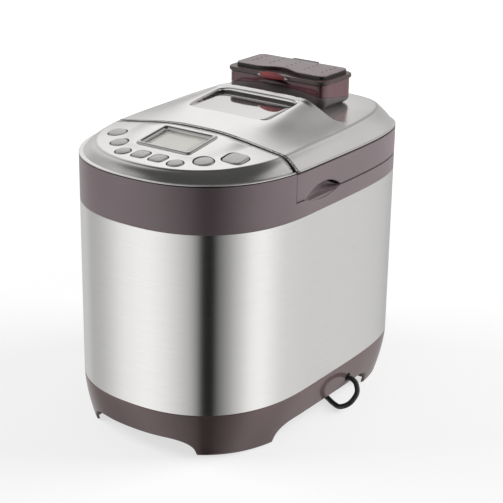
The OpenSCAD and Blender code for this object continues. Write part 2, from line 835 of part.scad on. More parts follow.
function flat_ring(w, d, r, z) = [for (p = soft_ring(w, d, r)) [p[0], box_y + p[1], z]];
function edge_ring(w, d, r, off) =
    [for (p = soft_ring(w, d, r)) [p[0], box_y + p[1], collar_z(p[0], p[1]) + off]];
function deck_ring(w, d, r, off) =
    [for (p = soft_ring(w, d, r))
        [p[0], box_y + p[1], top_z(p[0], box_y + p[1]) + off]];

module dispenser_collar() color(dark)
    ring_shell([
        edge_ring(box_half_w - collar_wall, box_half_d - collar_wall, box_corner - collar_wall, 0),
        edge_ring(box_half_w, box_half_d, box_corner, 0),
        deck_ring(box_half_w - collar_taper, box_half_d - collar_taper + 1, box_corner - 2, 0),
        deck_ring(throat_w, throat_d, box_corner - 3, 0)]);

module dispenser_box() color(maroon) {
    w = box_half_w;
    d = box_half_d;
    r = box_corner;
    outer_r = r - 4;
    inner_r = outer_r - 1;
    low = rim_h + box_floor;
    neck_w = throat_w - 1;
    neck_d = throat_d - 1;
    difference() {
        union() {
            ring_shell([
                flat_ring(w - box_wall, d - box_wall, r - box_wall, rim_h + box_top),
                flat_ring(w, d, r, rim_h + box_top),
                edge_ring(w, d, r, gap),
                edge_ring(w - collar_wall - 2 * gap, d - collar_wall - 2 * gap, r - collar_wall, gap),
                deck_ring(neck_w, neck_d, outer_r, 1),
                flat_ring(neck_w, neck_d, outer_r, low),
                flat_ring(flap_half_w, flap_half_d - 2, outer_r, low),
                flat_ring(flap_half_w, flap_half_d - 2, outer_r, low + box_wall),
                flat_ring(neck_w - box_wall, neck_d - box_wall, inner_r, low + box_wall),
                deck_ring(neck_w - box_wall, neck_d - box_wall, inner_r, 2),
                edge_ring(w - collar_wall - 2 * gap - box_wall, d - collar_wall - 2 * gap - box_wall,
                    r - collar_wall - 1, 2)]);
            for (s = [-1, 1]) {
                translate([s * (box_hinge_x + gap + lug_w / 2) - lug_w / 2, box_y + d - eps,
                    cover_axis_h - lug_r])
                    cube([lug_w, 2 * lug_r + eps, lug_r]);
                translate([s * (box_hinge_x + gap + lug_w / 2), cover_axis_y, cover_axis_h])
                    bar_x(lug_r, lug_w);
                translate([s * (flap_half_w + gap + lug_w / 2) - lug_w / 2, flap_axis_y - 2, flap_axis_h - 2])
                    cube([lug_w, 4, low - flap_axis_h + 2 + eps]);
            }
        }
        translate([0, cover_axis_y, cover_axis_h]) bar_x(cover_pin_r, far / 8);
        translate([0, flap_axis_y, flap_axis_h]) bar_x(flap_pin_r, far / 3);
        for (s = [-1, 1])
            translate([s * latch_pin_x, box_y - d + far / 80, latch_z]) rotate([90, 0, 0])
                cylinder(far / 40, r = latch_pin_r + gap);
    }
}

lug_r = 3;
cover_barrel_r = 3.2;
cover_axis_y = box_y + box_half_d + lug_r;
cover_axis_h = rim_h + box_top + 2;
flap_axis_y = box_y + flap_half_d;
flap_axis_h = rim_h + box_floor - barrel_r - gap;
cover_low = rim_h + box_top + gap;
cover_half_w = box_half_w + 2;
cover_half_d = box_half_d + 2;
plateau_w = box_half_w - 4;
plateau_d = box_half_d - 4;
scallop_half = 23;
scallop_deep = 7;
cover_columns = 5;
cover_rows = 4;
column_step = 20;
row_step = 7.5;

module dispenser_cover() color("#6e5a5c") {
    difference() {
        union() {
            translate([0, box_y, cover_low]) soft_block(cover_half_w, cover_half_d, box_corner + 2, cover_t);
            translate([0, box_y, cover_low + cover_t - eps])
                soft_block(plateau_w, plateau_d, box_corner - 2, plateau_h + eps);
            translate([0, cover_axis_y, cover_axis_h]) bar_x(cover_barrel_r, 2 * box_hinge_x);
        }
        translate([0, box_y - plateau_d + scallop_deep - arc_r(scallop_half, scallop_deep),
            cover_low + cover_t]) cylinder(far, r = arc_r(scallop_half, scallop_deep));
        translate([0, box_y, cover_low - eps])
            soft_block(plateau_w - 2, plateau_d - scallop_deep - 2, box_corner - 4, cover_t + plateau_h - 2);
        for (c = [0:cover_columns - 1], k = [0:cover_rows - 1])
            translate([(c - (cover_columns - 1) / 2) * column_step,
                box_y + (k - (cover_rows - 1) / 2) * row_step, cover_low]) cylinder(punch, r = vent_r);
        translate([0, cover_axis_y, cover_axis_h]) bar_x(cover_pin_r + shaft_play, far / 4);
        for (s = [-1, 1])
            translate([s * (box_hinge_x + gap + lug_w / 2) - lug_w / 2 - gap, box_y + box_half_d - gap,
                cover_low - 1]) cube([lug_w + 2 * gap, 3 * lug_r, cover_t + 2]);
    }
}

latch_drop = 3.5;
latch_z = rim_h + box_top - latch_drop;
latch_half = 19;
latch_out = 4.5;
latch_t = 4;
latch_travel = 1.8;
latch_pin_x = 10;
latch_pin_r = 1.4;

module dispenser_latch() color("#a33c40") {
    front = box_y - box_half_d - latch_travel - gap;
    r = arc_r(latch_half, latch_out);
    intersection() {
        translate([0, front - latch_out + r, latch_z - latch_t / 2]) cylinder(latch_t, r = r);
        translate([-far / 2, front - far, 0]) cube([far, far, far]);
    }
    for (s = [-1, 1])
        translate([s * latch_pin_x, front - 1, latch_z]) rotate([-90, 0, 0])
            cylinder(latch_travel + box_wall + 4, r = latch_pin_r);
}

module dispenser_pins() color("silver") {
    translate([0, cover_axis_y, cover_axis_h]) bar_x(cover_pin_r, 2 * (box_hinge_x + gap + lug_w));
    translate([0, flap_axis_y, flap_axis_h]) bar_x(flap_pin_r, 2 * (flap_half_w + gap + lug_w));
}

module dispenser_flap() color(dark) difference() {
    union() {
        translate([-flap_half_w, box_y - flap_half_d, rim_h + box_floor - gap - flap_t])
            cube([2 * flap_half_w, 2 * flap_half_d, flap_t]);
        translate([0, flap_axis_y, flap_axis_h]) bar_x(barrel_r, 2 * flap_half_w);
    }
    translate([0, flap_axis_y, flap_axis_h]) bar_x(flap_pin_r + shaft_play, far / 3);
}

plunger_r = 2;
coil_in = throat_w + box_wall;
coil_l = 26;
coil_s = 14;
coil_fore = 6;
coil_y = box_y - coil_fore;
coil_foot_in = 4;
plunger_short = 12;

module flap_solenoid() color("#b87333") difference() {
    union() {
        translate([coil_in, coil_y - coil_s / 2, flap_axis_h - coil_s / 2]) cube([coil_l, coil_s, coil_s]);
        translate([coil_in + coil_foot_in, coil_y - coil_s / 2, liner_h + liner_t])
            cube([coil_l - 2 * coil_foot_in, coil_s,
                flap_axis_h - coil_s / 2 - liner_h - liner_t + eps]);
    }
    translate([coil_in - 1, coil_y, flap_axis_h]) rotate([0, 90, 0])
        cylinder(coil_l - 4, r = plunger_r + shaft_play);
}

module solenoid_plunger() color("silver")
    translate([flap_half_w + gap, coil_y, flap_axis_h]) rotate([0, 90, 0])
        cylinder(coil_in + coil_l - plunger_short - flap_half_w, r = plunger_r);

// --- Oven ---------------------------------------------------------------------------------

element_half_w = 90;
element_half_d = 80;
element_corner = 22;
element_h = 86;
terminal_x = 12;
terminal_l = 20;
clip_w = 8;
shaft_hole_r = 12;
sensor_x = 30;
sensor_h = 120;
sensor_r = 4;
sensor_l = 8;
socket_t = 5;
socket_r = 48;
socket_hole_r = 16;
socket_wall = 5;
socket_rise = 8;

module oven_chamber() color(steel) translate([0, oven_y, 0]) difference() {
    union() {
        translate([0, 0, oven_floor])
            soft_block(oven_half_w + oven_t, oven_half_d + oven_t, oven_corner + oven_t, flange_h - oven_floor);
        translate([0, 0, flange_h - oven_t])
            soft_block(oven_half_w + oven_t + flange_out, oven_half_d + oven_t + flange_out,
                oven_corner + oven_t + flange_out, oven_t);
    }
    translate([0, 0, oven_floor + oven_t]) soft_block(oven_half_w, oven_half_d, oven_corner, far);
    cylinder(far / 4, r = shaft_hole_r);
    for (s = [-1, 1])
        translate([s * terminal_x, 0, element_h]) rotate([-90, 0, 0]) cylinder(far, r = element_r);
    translate([sensor_x, 0, sensor_h]) rotate([90, 0, 0]) cylinder(far, r = sensor_r);
}

// Straight rod from one point to another along X or Y, with a round end
module rod(x, y, length, turn)
    translate([x, y, element_h]) rotate([0, 0, turn]) rotate([0, 90, 0]) cylinder(length, r = element_r);

module heating_element() color("#55504c") translate([0, oven_y, 0]) {
    side = element_half_w - element_corner;
    front = element_half_d - element_corner;
    for (s = [-1, 1]) {
        rod(s * element_half_w, -front, 2 * front, 90);
        rod(s > 0 ? terminal_x : -side, element_half_d, side - terminal_x, 0);
        translate([s * terminal_x, element_half_d, element_h]) sphere(element_r);
        rod(s * terminal_x, element_half_d, terminal_l, 90);
    }
    rod(-side, -element_half_d, 2 * side, 0);
    for (c = [[1, 1, 0], [-1, 1, 90], [-1, -1, 180], [1, -1, 270]])
        translate([c[0] * side, c[1] * front, element_h]) rotate([0, 0, c[2]])
            rotate_extrude(angle = 90) translate([element_corner, 0]) circle(element_r);
}

module element_clips() color("silver") translate([0, oven_y, 0]) {
    for (c = [[0, -element_half_d, 90], [-element_half_w, 0, 0], [element_half_w, 0, 0]])
        translate([c[0], c[1], oven_floor + oven_t]) rotate([0, 0, c[2]]) difference() {
            translate([-clip_w / 2, -clip_w / 2, 0]) cube([clip_w, clip_w, element_h - oven_floor - oven_t]);
            translate([0, 0, element_h - oven_floor - oven_t]) rotate([90, 0, 0])
                cylinder(2 * clip_w, r = element_r, center = true);
        }
}

module temperature_sensor() color("silver")
    translate([sensor_x, oven_y - oven_half_d + sensor_l, sensor_h]) rotate([90, 0, 0]) {
        cylinder(sensor_l + oven_t + sensor_l, r = sensor_r);
        translate([0, 0, sensor_l + oven_t]) cylinder(2, r = 2 * sensor_r);
    }

module pan_socket() color("silver") translate([0, oven_y, oven_floor + oven_t]) {
    pipe(socket_r, socket_hole_r, socket_t);
    translate([0, 0, socket_t - eps]) pipe(socket_r, socket_r - socket_wall, socket_rise + eps);
}

// --- Drive --------------------------------------------------------------------------------

pulley_low = 26.5;
pulley_wide = 11;
pulley_lip = 1.2;
lip_out = 2.5;
hub_r = 12;
drive_low = 25;
coupling_r = 14;
coupling_h = oven_floor + oven_t + socket_t + 1;
coupling_t = 5;
peg_r = 3;
peg_out = 9;
peg_h = 7;
peg_turn = 46;
bearing_low = 40;
bearing_r = 16;
bearing_flange_r = 30;
bearing_flange_t = 3;
web_t = 3;
spoke_hole_r = 11;
spoke_hole_out = 30;
spoke_count = 6;

module drive_bearing() color("silver") translate([0, oven_y, 0]) difference() {
    union() {
        translate([0, 0, bearing_low]) cylinder(oven_floor - bearing_low, r = bearing_r);
        translate([0, 0, oven_floor - bearing_flange_t]) cylinder(bearing_flange_t, r = bearing_flange_r);
    }
    cylinder(far / 4, r = shaft_r + shaft_play);
}

module drive_shaft() color("silver")
    translate([0, oven_y, drive_low]) cylinder(coupling_h + coupling_t - drive_low, r = shaft_r);

module large_pulley() color(dark) translate([0, oven_y, pulley_low]) difference() {
    union() {
        pulley(large_pulley_r, 0);
        cylinder(bearing_low - 1 - pulley_low, r = hub_r);
    }
    cylinder(punch, r = shaft_r);
    for (side = [-1, 1])
        translate([0, 0, side > 0 ? (pulley_wide + web_t) / 2 : -web_t - (pulley_wide + web_t) / 2])
            pipe(large_pulley_r - web_t, hub_r, pulley_wide);
    for (k = [0:spoke_count - 1])
        rotate([0, 0, 360 * k / spoke_count]) translate([spoke_hole_out, 0, 0])
            cylinder(pulley_wide, r = spoke_hole_r);
}

// Belt pulley with a lip at each face
module pulley(r, bore) difference() {
    union() {
        cylinder(pulley_wide, r = r);
        for (z = [0, pulley_wide - pulley_lip])
            translate([0, 0, z]) cylinder(pulley_lip, r = r + lip_out);
    }
    translate([0, 0, -eps]) cylinder(pulley_wide + 2 * eps, r = bore);
}

module drive_coupling() color("silver") translate([0, oven_y, coupling_h]) {
    pipe(coupling_r, shaft_r, coupling_t);
    for (turn = [0, 180])
        rotate([0, 0, peg_turn + turn]) translate([peg_out, 0, coupling_t - eps])
            cylinder(peg_h + eps, r = peg_r);
}

// Plan of the loop round both pulleys, grown outwards
module belt_plan(grow) {
    big = large_pulley_r + grow;
    small = small_pulley_r + grow;
    lean = (big - small) / (oven_y - motor_y);
    wide = sqrt(1 - lean * lean);
    translate([0, oven_y]) circle(big);
    translate([0, motor_y]) circle(small);
    polygon([
        [big * wide, oven_y - big * lean], [-big * wide, oven_y - big * lean],
        [-small * wide, motor_y - small * lean], [small * wide, motor_y - small * lean]]);
}

module drive_belt() color(rubber)
    translate([0, 0, pulley_low + (pulley_wide - belt_w) / 2]) linear_extrude(belt_w) difference() {
        belt_plan(gap + belt_t);
        belt_plan(gap);
    }

housing_half = 42;
housing_low = 50;
housing_top = 106;
housing_r = 10;
stator_r = 28;
motor_end = 3;
rotor_r = 27;
rotor_gap = 3;
rotor_top = 112;
fan_r = 30;
fan_h = 107;
fan_t = 9;
blade_count = 8;
blade_t = 1.5;
bracket_half = 50;
bracket_depth = 45;
bracket_t = 3;
leg_r = 4;
leg_x = 44;
leg_y = 40;

module motor_housing() color("#8c8c90") translate([0, motor_y, 0]) difference() {
    translate([0, 0, housing_low]) soft_block(housing_half, housing_half, housing_r, housing_top - housing_low);
    translate([0, 0, housing_low + motor_end]) cylinder(housing_top - housing_low - 2 * motor_end, r = stator_r);
    cylinder(far, r = motor_shaft_r + shaft_play);
}

module motor_rotor() color("#b87333") translate([0, motor_y, 0]) {
    translate([0, 0, pulley_low]) cylinder(rotor_top - pulley_low, r = motor_shaft_r);
    translate([0, 0, housing_low + motor_end + rotor_gap])
        cylinder(housing_top - housing_low - 2 * (motor_end + rotor_gap), r = rotor_r);
}

module motor_pulley() color(dark)
    translate([0, motor_y, pulley_low]) pulley(small_pulley_r, motor_shaft_r);

module motor_fan() color(dark) translate([0, motor_y, fan_h]) {
    pipe(motor_shaft_r + 4, motor_shaft_r, fan_t - eps);
    pipe(fan_r, motor_shaft_r + 3, blade_t);
    for (k = [0:blade_count - 1])
        rotate([0, 0, 360 * k / blade_count])
            translate([motor_shaft_r + 3, -blade_t / 2, eps]) cube([fan_r - motor_shaft_r - 4, blade_t, fan_t - 1]);
}

module motor_bracket() color(steel) translate([0, motor_y, 0]) {
    translate([0, 0, housing_low - bracket_t]) linear_extrude(bracket_t) difference() {
        square([2 * bracket_half, 2 * bracket_depth], center = true);
        circle(hub_r);
    }
    for (x = [-leg_x, leg_x], y = [-leg_y, leg_y])
        translate([x, y, plate_top]) cylinder(housing_low - bracket_t - plate_top + eps, r = leg_r);
}

power_back = 15;
power_y = wide_y - front_depth + power_back;
power_half = 48;
power_top = 100;
transformer = [30, 11, 24];
transformer_in = 8;
transformer_up = 10;
can_r = 5;
can_l = 10;
can_step = 13;
can_x = 8;
relay = [18, 9, 14];
relay_step = 24;
relay_x = -36;
relay_up = 46;

module power_board() color("#3f6b47") {
    translate([-power_half, power_y - board_t, plate_top])
        cube([2 * power_half, board_t, power_top - plate_top]);
    translate([transformer_in - power_half, power_y - eps, plate_top + transformer_up]) cube(transformer);
    for (k = [0:2])
        translate([can_x + can_step * k, power_y - eps, plate_top + 4 * can_r])
            rotate([-90, 0, 0]) cylinder(can_l, r = can_r);
    for (k = [0:1])
        translate([relay_x + relay_step * k, power_y - eps, plate_top + relay_up]) cube(relay);
}

// --- Pan ----------------------------------------------------------------------------------

ring_wall = 4;
ring_low = oven_floor + oven_t + socket_t + gap;
pan_stand = 18;
pan_floor = ring_low + pan_stand;
pan_top = flange_h - pan_drop;
pan_rim = 3;
pan_rim_t = 1.2;
bush_r = 10;
bush_drop = 3;
bush_rise = 5;
ear_half = 7;
ear_t = 2;
ear_rise = 12;
pivot_rise = 6;
pivot_h = pan_top + pivot_rise;
handle_r = 2.2;
arm_x = pan_half_w + ear_t + gap + 1 + handle_r;
arm_l = 62;
wing_l = 24;
wing_w = 6;
wing_t = 6;
wing_low = coupling_h + coupling_t + 1;
paddle_hub_r = 9;
paddle_low = pan_floor + bush_rise + gap;
paddle_h = 16;
blade_out = 52;
blade_w = 7;
blade_low = 24;
blade_high = 12;
blade_nose = 4;
blade_slope = 6;
blade_lip = 3;

module bread_pan() color("#4b4a4d") translate([0, oven_y, 0]) difference() {
    union() {
        difference() {
            translate([0, 0, pan_floor]) soft_block(pan_half_w, pan_half_d, pan_corner, pan_top - pan_floor);
            translate([0, 0, pan_floor + pan_t])
                soft_block(pan_half_w - pan_t, pan_half_d - pan_t, pan_corner - pan_t, far);
        }
        translate([0, 0, pan_top - pan_rim_t]) soft_tube(pan_half_w + pan_rim, pan_half_d + pan_rim,
            pan_corner + pan_rim, pan_rim + eps, pan_rim_t);
        for (s = [-1, 1])
            translate([s * (pan_half_w - ear_t / 2) - ear_t / 2, -ear_half, pan_top - ear_rise])
                cube([ear_t, 2 * ear_half, 2 * ear_rise - 2]);
        translate([0, 0, pan_floor - bush_drop]) cylinder(bush_drop + bush_rise, r = bush_r);
        translate([0, 0, ring_low]) pipe(ring_r, ring_r - ring_wall, pan_floor - ring_low + eps);
    }
    cylinder(far, r = pan_shaft_r + shaft_play);
    translate([0, 0, pivot_h]) bar_x(handle_r + shaft_play, body_w);
}

module pan_handle() color("silver") translate([0, oven_y, pivot_h]) {
    reach_in = arm_x - pan_half_w + ear_t + 1;
    for (s = [-1, 1]) {
        translate([s * (arm_x - reach_in / 2), 0, 0]) bar_x(handle_r, reach_in);
        translate([s * arm_x, 0, 0]) sphere(handle_r);
        translate([s * arm_x, 0, 0]) rotate([90, 0, 0]) cylinder(arm_l - 2 * handle_r, r = handle_r);
        translate([s * (arm_x - 2 * handle_r), 2 * handle_r - arm_l, 0]) rotate([0, 0, s > 0 ? 270 : 180])
            rotate_extrude(angle = 90) translate([2 * handle_r, 0]) circle(handle_r);
    }
    translate([0, -arm_l, 0]) bar_x(handle_r, 2 * (arm_x - 2 * handle_r));
}

module pan_shaft() color("silver") translate([0, oven_y, 0]) {
    translate([0, 0, wing_low]) cylinder(paddle_low + paddle_h - 2 - wing_low, r = pan_shaft_r);
    translate([-wing_l / 2, -wing_w / 2, wing_low]) cube([wing_l, wing_w, wing_t]);
}

module kneading_paddle() color("#4b4a4d") translate([0, oven_y, paddle_low]) difference() {
    union() {
        cylinder(paddle_h, r = paddle_hub_r);
        translate([0, blade_w / 2, 0]) rotate([90, 0, 0]) linear_extrude(blade_w)
            polygon([[0, 0], [blade_out - blade_nose, 0], [blade_out, blade_nose],
                [blade_out - blade_slope, blade_low - blade_lip], [blade_out - 2 * blade_slope, blade_low],
                [blade_out / 2, blade_high], [0, blade_high]]);
    }
    translate([0, 0, -eps]) cylinder(paddle_h + 1, r = pan_shaft_r);
}

// --- Mains cord ---------------------------------------------------------------------------

cord_r = 2.75;
cord_sides = 8;
relief_l = 19;
relief_in_r = 4.8;
relief_out_r = 3.6;
relief_head_r = 5.5;
relief_head_t = 3;
coil_turn_in = 27.5;
coil_turn_out = 33;
coil_cy = 222;
coil_layers = 2;
tie_t = 0.8;
tie_w = 8;
plug_half = 9;

// Route of the cord: out of its hole, round in a loose loop, and back under the base to the coil
CORD = [
    [112, 40, 28], [119, 40, 28], [125, 39, 27.5], [131, 36, 25], [136, 29.5, 18.5],
    [133, 21, 9.5], [123, 18, 3.5], [112, 22, 2.75], [102, 28, 2.75], [90, 35, 2.75],
    [76, 44, 2.75], [62, 56, 2.75], [50, 71, 2.75], [41, 90, 2.75], [35.5, 112, 2.75],
    [33.5, 137, 2.75], [33, 162, 2.75], [33, 190, 2.75], [33, 222, 2.75]];

module strain_relief() color(rubber)
    translate([seat_x, wide_y + cord_hole_back, cord_hole_h]) rotate([0, 90, 0]) {
        translate([0, 0, -relief_head_t]) cylinder(relief_head_t, r = relief_head_r);
        translate([0, 0, -eps]) cylinder(relief_l + eps, r1 = relief_in_r, r2 = relief_out_r);
    }

function unit(v) = v / norm(v);
function spline(a, b, c, d, t) =
    0.5 * (2 * b + (c - a) * t + (2 * a - 5 * b + 4 * c - d) * t * t + (3 * b - a - 3 * c + d) * t * t * t);

// Points along the route, steps of them between each two
function smooth_route(points, steps) = let (n = len(points)) concat(
    [for (k = [0:n - 2]) for (t = [0:steps - 1])
        spline(points[max(k - 1, 0)], points[k], points[k + 1], points[min(k + 2, n - 1)], t / steps)],
    [points[n - 1]]);

module tube(points, r, sides) {
    n = len(points);
    rings = [for (k = [0:n - 1])
        let (d = unit(points[min(k + 1, n - 1)] - points[max(k - 1, 0)]),
            u = unit(cross(d, [0, 0, 1])),
            v = cross(u, d))
        for (j = [0:sides - 1])
            let (a = 360 * j / sides) points[k] + r * (cos(a) * u + sin(a) * v)];
    faces = concat(
        [[for (j = [0:sides - 1]) j]],
        [for (k = [0:n - 2]) for (j = [0:sides - 1])
            let (a = k * sides + j, b = k * sides + (j + 1) % sides)
            each [[a, a + sides, b + sides], [a, b + sides, b]]],
        [[for (j = [sides - 1:-1:0]) (n - 1) * sides + j]]);
    polyhedron(rings, faces);
}

coil_out = coil_turn_out + cord_r;
coil_in_r = coil_turn_in - cord_r;
coil_h = coil_layers * 2 * cord_r;

module mains_cord() color("#3a403e") difference() {
    tube(smooth_route(CORD, 3), cord_r, cord_sides);
    translate([seat_x, wide_y + cord_hole_back - relief_head_r, cord_hole_h - relief_head_r])
        cube([relief_l, 2 * relief_head_r, 2 * relief_head_r]);
    translate([0, coil_cy, 0]) cylinder(far, r = coil_out);
}

module cord_coil() color("#3a403e")
    translate([0, coil_cy, tie_t]) rotate_extrude() difference() {
        translate([coil_in_r, 0]) square([coil_out - coil_in_r, coil_h]);
    }

module cord_tie() color("#e8e8e4") translate([0, coil_cy, 0]) difference() {
    translate([-tie_w / 2, coil_in_r - tie_t, 0])
        cube([tie_w, coil_out - coil_in_r + 2 * tie_t, coil_h + 2 * tie_t]);
    translate([0, 0, tie_t]) pipe(coil_out, coil_in_r, coil_h);
}

plug_neck_l = 26;
plug_neck_r = 5;
plug_l = 26;
plug_start = sqrt(coil_out * coil_out - (coil_turn_out - cord_r) * (coil_turn_out - cord_r));

module mains_plug() color("#3a403e") translate([-plug_start, coil_cy + coil_turn_out, 0]) {
    translate([0, 0, tie_t + coil_h - cord_r]) rotate([0, -90, 0])
        cylinder(plug_neck_l + eps, r1 = cord_r, r2 = plug_neck_r);
    translate([-plug_neck_l - plug_l, -plug_half, 0])
        cube([plug_l, 2 * plug_half, tie_t + coil_h - cord_r + plug_neck_r]);
}

// --- Drawing ------------------------------------------------------------------------------

base_housing();
rubber_feet();
body_wrap();
top_frame();
tie_rods();
hinge_pins();
control_panel();
lcd_bezel();
lcd_lens();
control_board();
tact_switches();
menu_button();
crust_button();
loaf_button();
time_up_button();
time_down_button();
light_button();
stop_button();
start_button();
lid_cover();
lid_skirt();
lid_liner();
lid_seal();
window_bezel();
window_glass();
dispenser_collar();
dispenser_box();
dispenser_cover();
dispenser_latch();
dispenser_pins();
dispenser_flap();
flap_solenoid();
solenoid_plunger();
oven_chamber();
heating_element();
element_clips();
temperature_sensor();
pan_socket();
drive_bearing();
drive_shaft();
large_pulley();
drive_coupling();
drive_belt();
motor_housing();
motor_rotor();
motor_pulley();
motor_fan();
motor_bracket();
power_board();
bread_pan();
pan_handle();
pan_shaft();
kneading_paddle();
strain_relief();
mains_cord();
cord_coil();
cord_tie();
mains_plug();
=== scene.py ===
import bpy
import math
import numpy as np
from mathutils import Matrix, Vector


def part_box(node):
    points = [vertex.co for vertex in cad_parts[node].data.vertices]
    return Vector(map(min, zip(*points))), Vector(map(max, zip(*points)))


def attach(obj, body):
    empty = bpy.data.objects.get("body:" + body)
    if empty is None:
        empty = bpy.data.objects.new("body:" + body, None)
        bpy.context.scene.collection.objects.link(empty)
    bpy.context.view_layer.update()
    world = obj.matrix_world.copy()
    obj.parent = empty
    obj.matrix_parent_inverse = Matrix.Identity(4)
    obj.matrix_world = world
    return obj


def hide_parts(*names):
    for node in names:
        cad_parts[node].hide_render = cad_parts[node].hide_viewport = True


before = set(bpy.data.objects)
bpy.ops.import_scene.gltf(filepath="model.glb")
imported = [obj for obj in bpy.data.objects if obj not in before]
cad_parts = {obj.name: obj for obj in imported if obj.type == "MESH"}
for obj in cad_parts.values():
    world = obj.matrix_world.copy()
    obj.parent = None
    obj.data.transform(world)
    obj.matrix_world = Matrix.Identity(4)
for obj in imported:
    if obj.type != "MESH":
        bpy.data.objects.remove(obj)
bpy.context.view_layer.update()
print("loaded", len(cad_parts), "nodes")

mm = 0.001  # lengths are in millimetres unless a note says metres, and rawObject turns them into metres


def boxOf(node):
    # lowest and highest corner of a CAD node
    low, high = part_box(node)
    return np.array(low) / mm, np.array(high) / mm


def middleOf(node):
    low, high = boxOf(node)
    return (low + high) / 2


# places that the CAD nodes give

wrapLow, wrapHigh = boxOf("body_wrap")
frameHigh = boxOf("top_frame")[1]
hinge = middleOf("hinge_pins")
plan = {
    "halfWidth": float(wrapHigh[0]),
    "front": 133, "rear": 213,               # depths in front of and behind the widest line
    "frontCurve": 2.35, "rearCurve": 4.7,    # exponents of the two half ovals
}
wideY = float(wrapLow[1]) + plan["front"]
rimZ = float(frameHigh[2])
seamZ = float(hinge[2])
seamY = wideY - 25       # where the lid ends and the control panel begins
ridgeY = wideY + 88
windowY = float(middleOf("window_glass")[1])
boxY = wideY + 135.5     # middle of the dispenser
bevelIn = 16.5           # how far the top's bevel draws in
shell = 2.2              # thickness of the silver shells
brimWall = 1.6           # what stays between a shell's brim and its underside
rimStep = 0.35           # size of the soft step at a shell's rim
wall = 2.5


# camera

cameraSettings = {
    "aim": (0, -61.96, 167.98),
    "distance": 1464.86,
    "turn": 37.433, "lift": 20.922,          # degrees round from the front and above level
    "panTurn": -2.130, "panLift": -0.222, "roll": 0.909,
    "lens": 103.06,
}


def makeCamera(c):
    def backOf(turn, lift):
        turn, lift = math.radians(turn), math.radians(lift)
        return Vector((math.sin(turn) * math.cos(lift), -math.cos(turn) * math.cos(lift), math.sin(lift)))
    place = Vector(c["aim"]) + backOf(c["turn"], c["lift"]) * c["distance"]
    back = backOf(c["turn"] + c["panTurn"], c["lift"] + c["panLift"])
    right = Vector((0, 0, 1)).cross(back).normalized()
    up = back.cross(right)
    roll = math.radians(c["roll"])
    side = right * math.cos(roll) + up * math.sin(roll)
    top = up * math.cos(roll) - right * math.sin(roll)
    data = bpy.data.cameras.new("camera")
    data.lens, data.sensor_width = c["lens"], 36
    camera = bpy.data.objects.new("camera", data)
    camera.matrix_world = Matrix((side, top, back)).transposed().to_4x4()
    camera.location = place * mm
    bpy.context.collection.objects.link(camera)
    bpy.context.scene.camera = camera


makeCamera(cameraSettings)
print("camera placed")


# materials

def colour(code):
    # sRGB hex to linear red, green, blue and full alpha
    c = np.array([int(code[k:k + 2], 16) for k in (1, 3, 5)]) / 255
    c = np.where(c <= 0.04045, c / 12.92, ((c + 0.055) / 1.055) ** 2.4)
    return (*[float(v) for v in c], 1.0)


def addNode(tree, kind, settings=None, **links):
    # settings are the node's own values or numbered sockets, and links are sockets fed by other outputs
    node = tree.nodes.new(kind)
    for key, value in (settings or {}).items():
        if not isinstance(key, int) and hasattr(node, key):
            setattr(node, key, value)
        else:
            node.inputs[key].default_value = value
    for key, source in links.items():
        name = int(key[1:]) if key[0] == "i" and key[1:].isdigit() else key.replace("_", " ")
        tree.links.new(source, node.inputs[name])
    return node


def newMaterial(name, code, **sockets):
    material = bpy.data.materials.new(name)
    material.use_nodes = True
    shader = material.node_tree.nodes["Principled BSDF"]
    shader.inputs["Base Color"].default_value = colour(code)
    for key, value in sockets.items():
        shader.inputs[key.replace("_", " ")].default_value = value
    return material, material.node_tree, shader


def objectSpace(tree, stretch=(1, 1, 1)):
    where = addNode(tree, "ShaderNodeTexCoord")
    return addNode(tree, "ShaderNodeMapping", {"Scale": stretch}, Vector=where.outputs["Object"]).outputs[0]


def perMetre(size):
    # noise scale whose features are about size millimetres across
    return 1 / (size * mm)


def varied(tree, shader, code, other, size, stretch=(1, 1, 1), low=0.35, high=0.65):
    # base colour drifts between two close tones over patches of the given size
    noise = addNode(tree, "ShaderNodeTexNoise", {"Scale": perMetre(size), "Detail": 3.0},
                    Vector=objectSpace(tree, stretch))
    ramp = addNode(tree, "ShaderNodeValToRGB", Fac=noise.outputs["Fac"])
    ramp.color_ramp.elements[0].position, ramp.color_ramp.elements[0].color = low, colour(code)
    ramp.color_ramp.elements[1].position, ramp.color_ramp.elements[1].color = high, colour(other)
    tree.links.new(ramp.outputs["Color"], shader.inputs["Base Color"])


def roughened(tree, shader, low, high, size, stretch=(1, 1, 1)):
    # roughness wanders between two values over grains of the given size
    noise = addNode(tree, "ShaderNodeTexNoise", {"Scale": perMetre(size), "Detail": 4.0},
                    Vector=objectSpace(tree, stretch))
    spread = addNode(tree, "ShaderNodeMapRange", {"To Min": low, "To Max": high}, Value=noise.outputs["Fac"])
    tree.links.new(spread.outputs["Result"], shader.inputs["Roughness"])


def grained(tree, shader, size, depth, stretch=(1, 1, 1), detail=2.0):
    # fine relief of the given grain size and depth, in millimetres
    noise = addNode(tree, "ShaderNodeTexNoise", {"Scale": perMetre(size), "Detail": detail},
                    Vector=objectSpace(tree, stretch))
    bump = addNode(tree, "ShaderNodeBump", {"Strength": 1.0, "Distance": depth * mm},
                   Height=noise.outputs["Fac"])
    tree.links.new(bump.outputs["Normal"], shader.inputs["Normal"])


def finish(name, code, tones, patch, rough, grain, stretch=(1, 1, 1), **sockets):
    # colour drifts between two tones over patches, and roughness between two values over grains, in mm
    material, tree, shader = newMaterial(name, code, **sockets)
    if tones:
        varied(tree, shader, *tones, patch, stretch)
    roughened(tree, shader, *rough, grain, stretch)
    return material


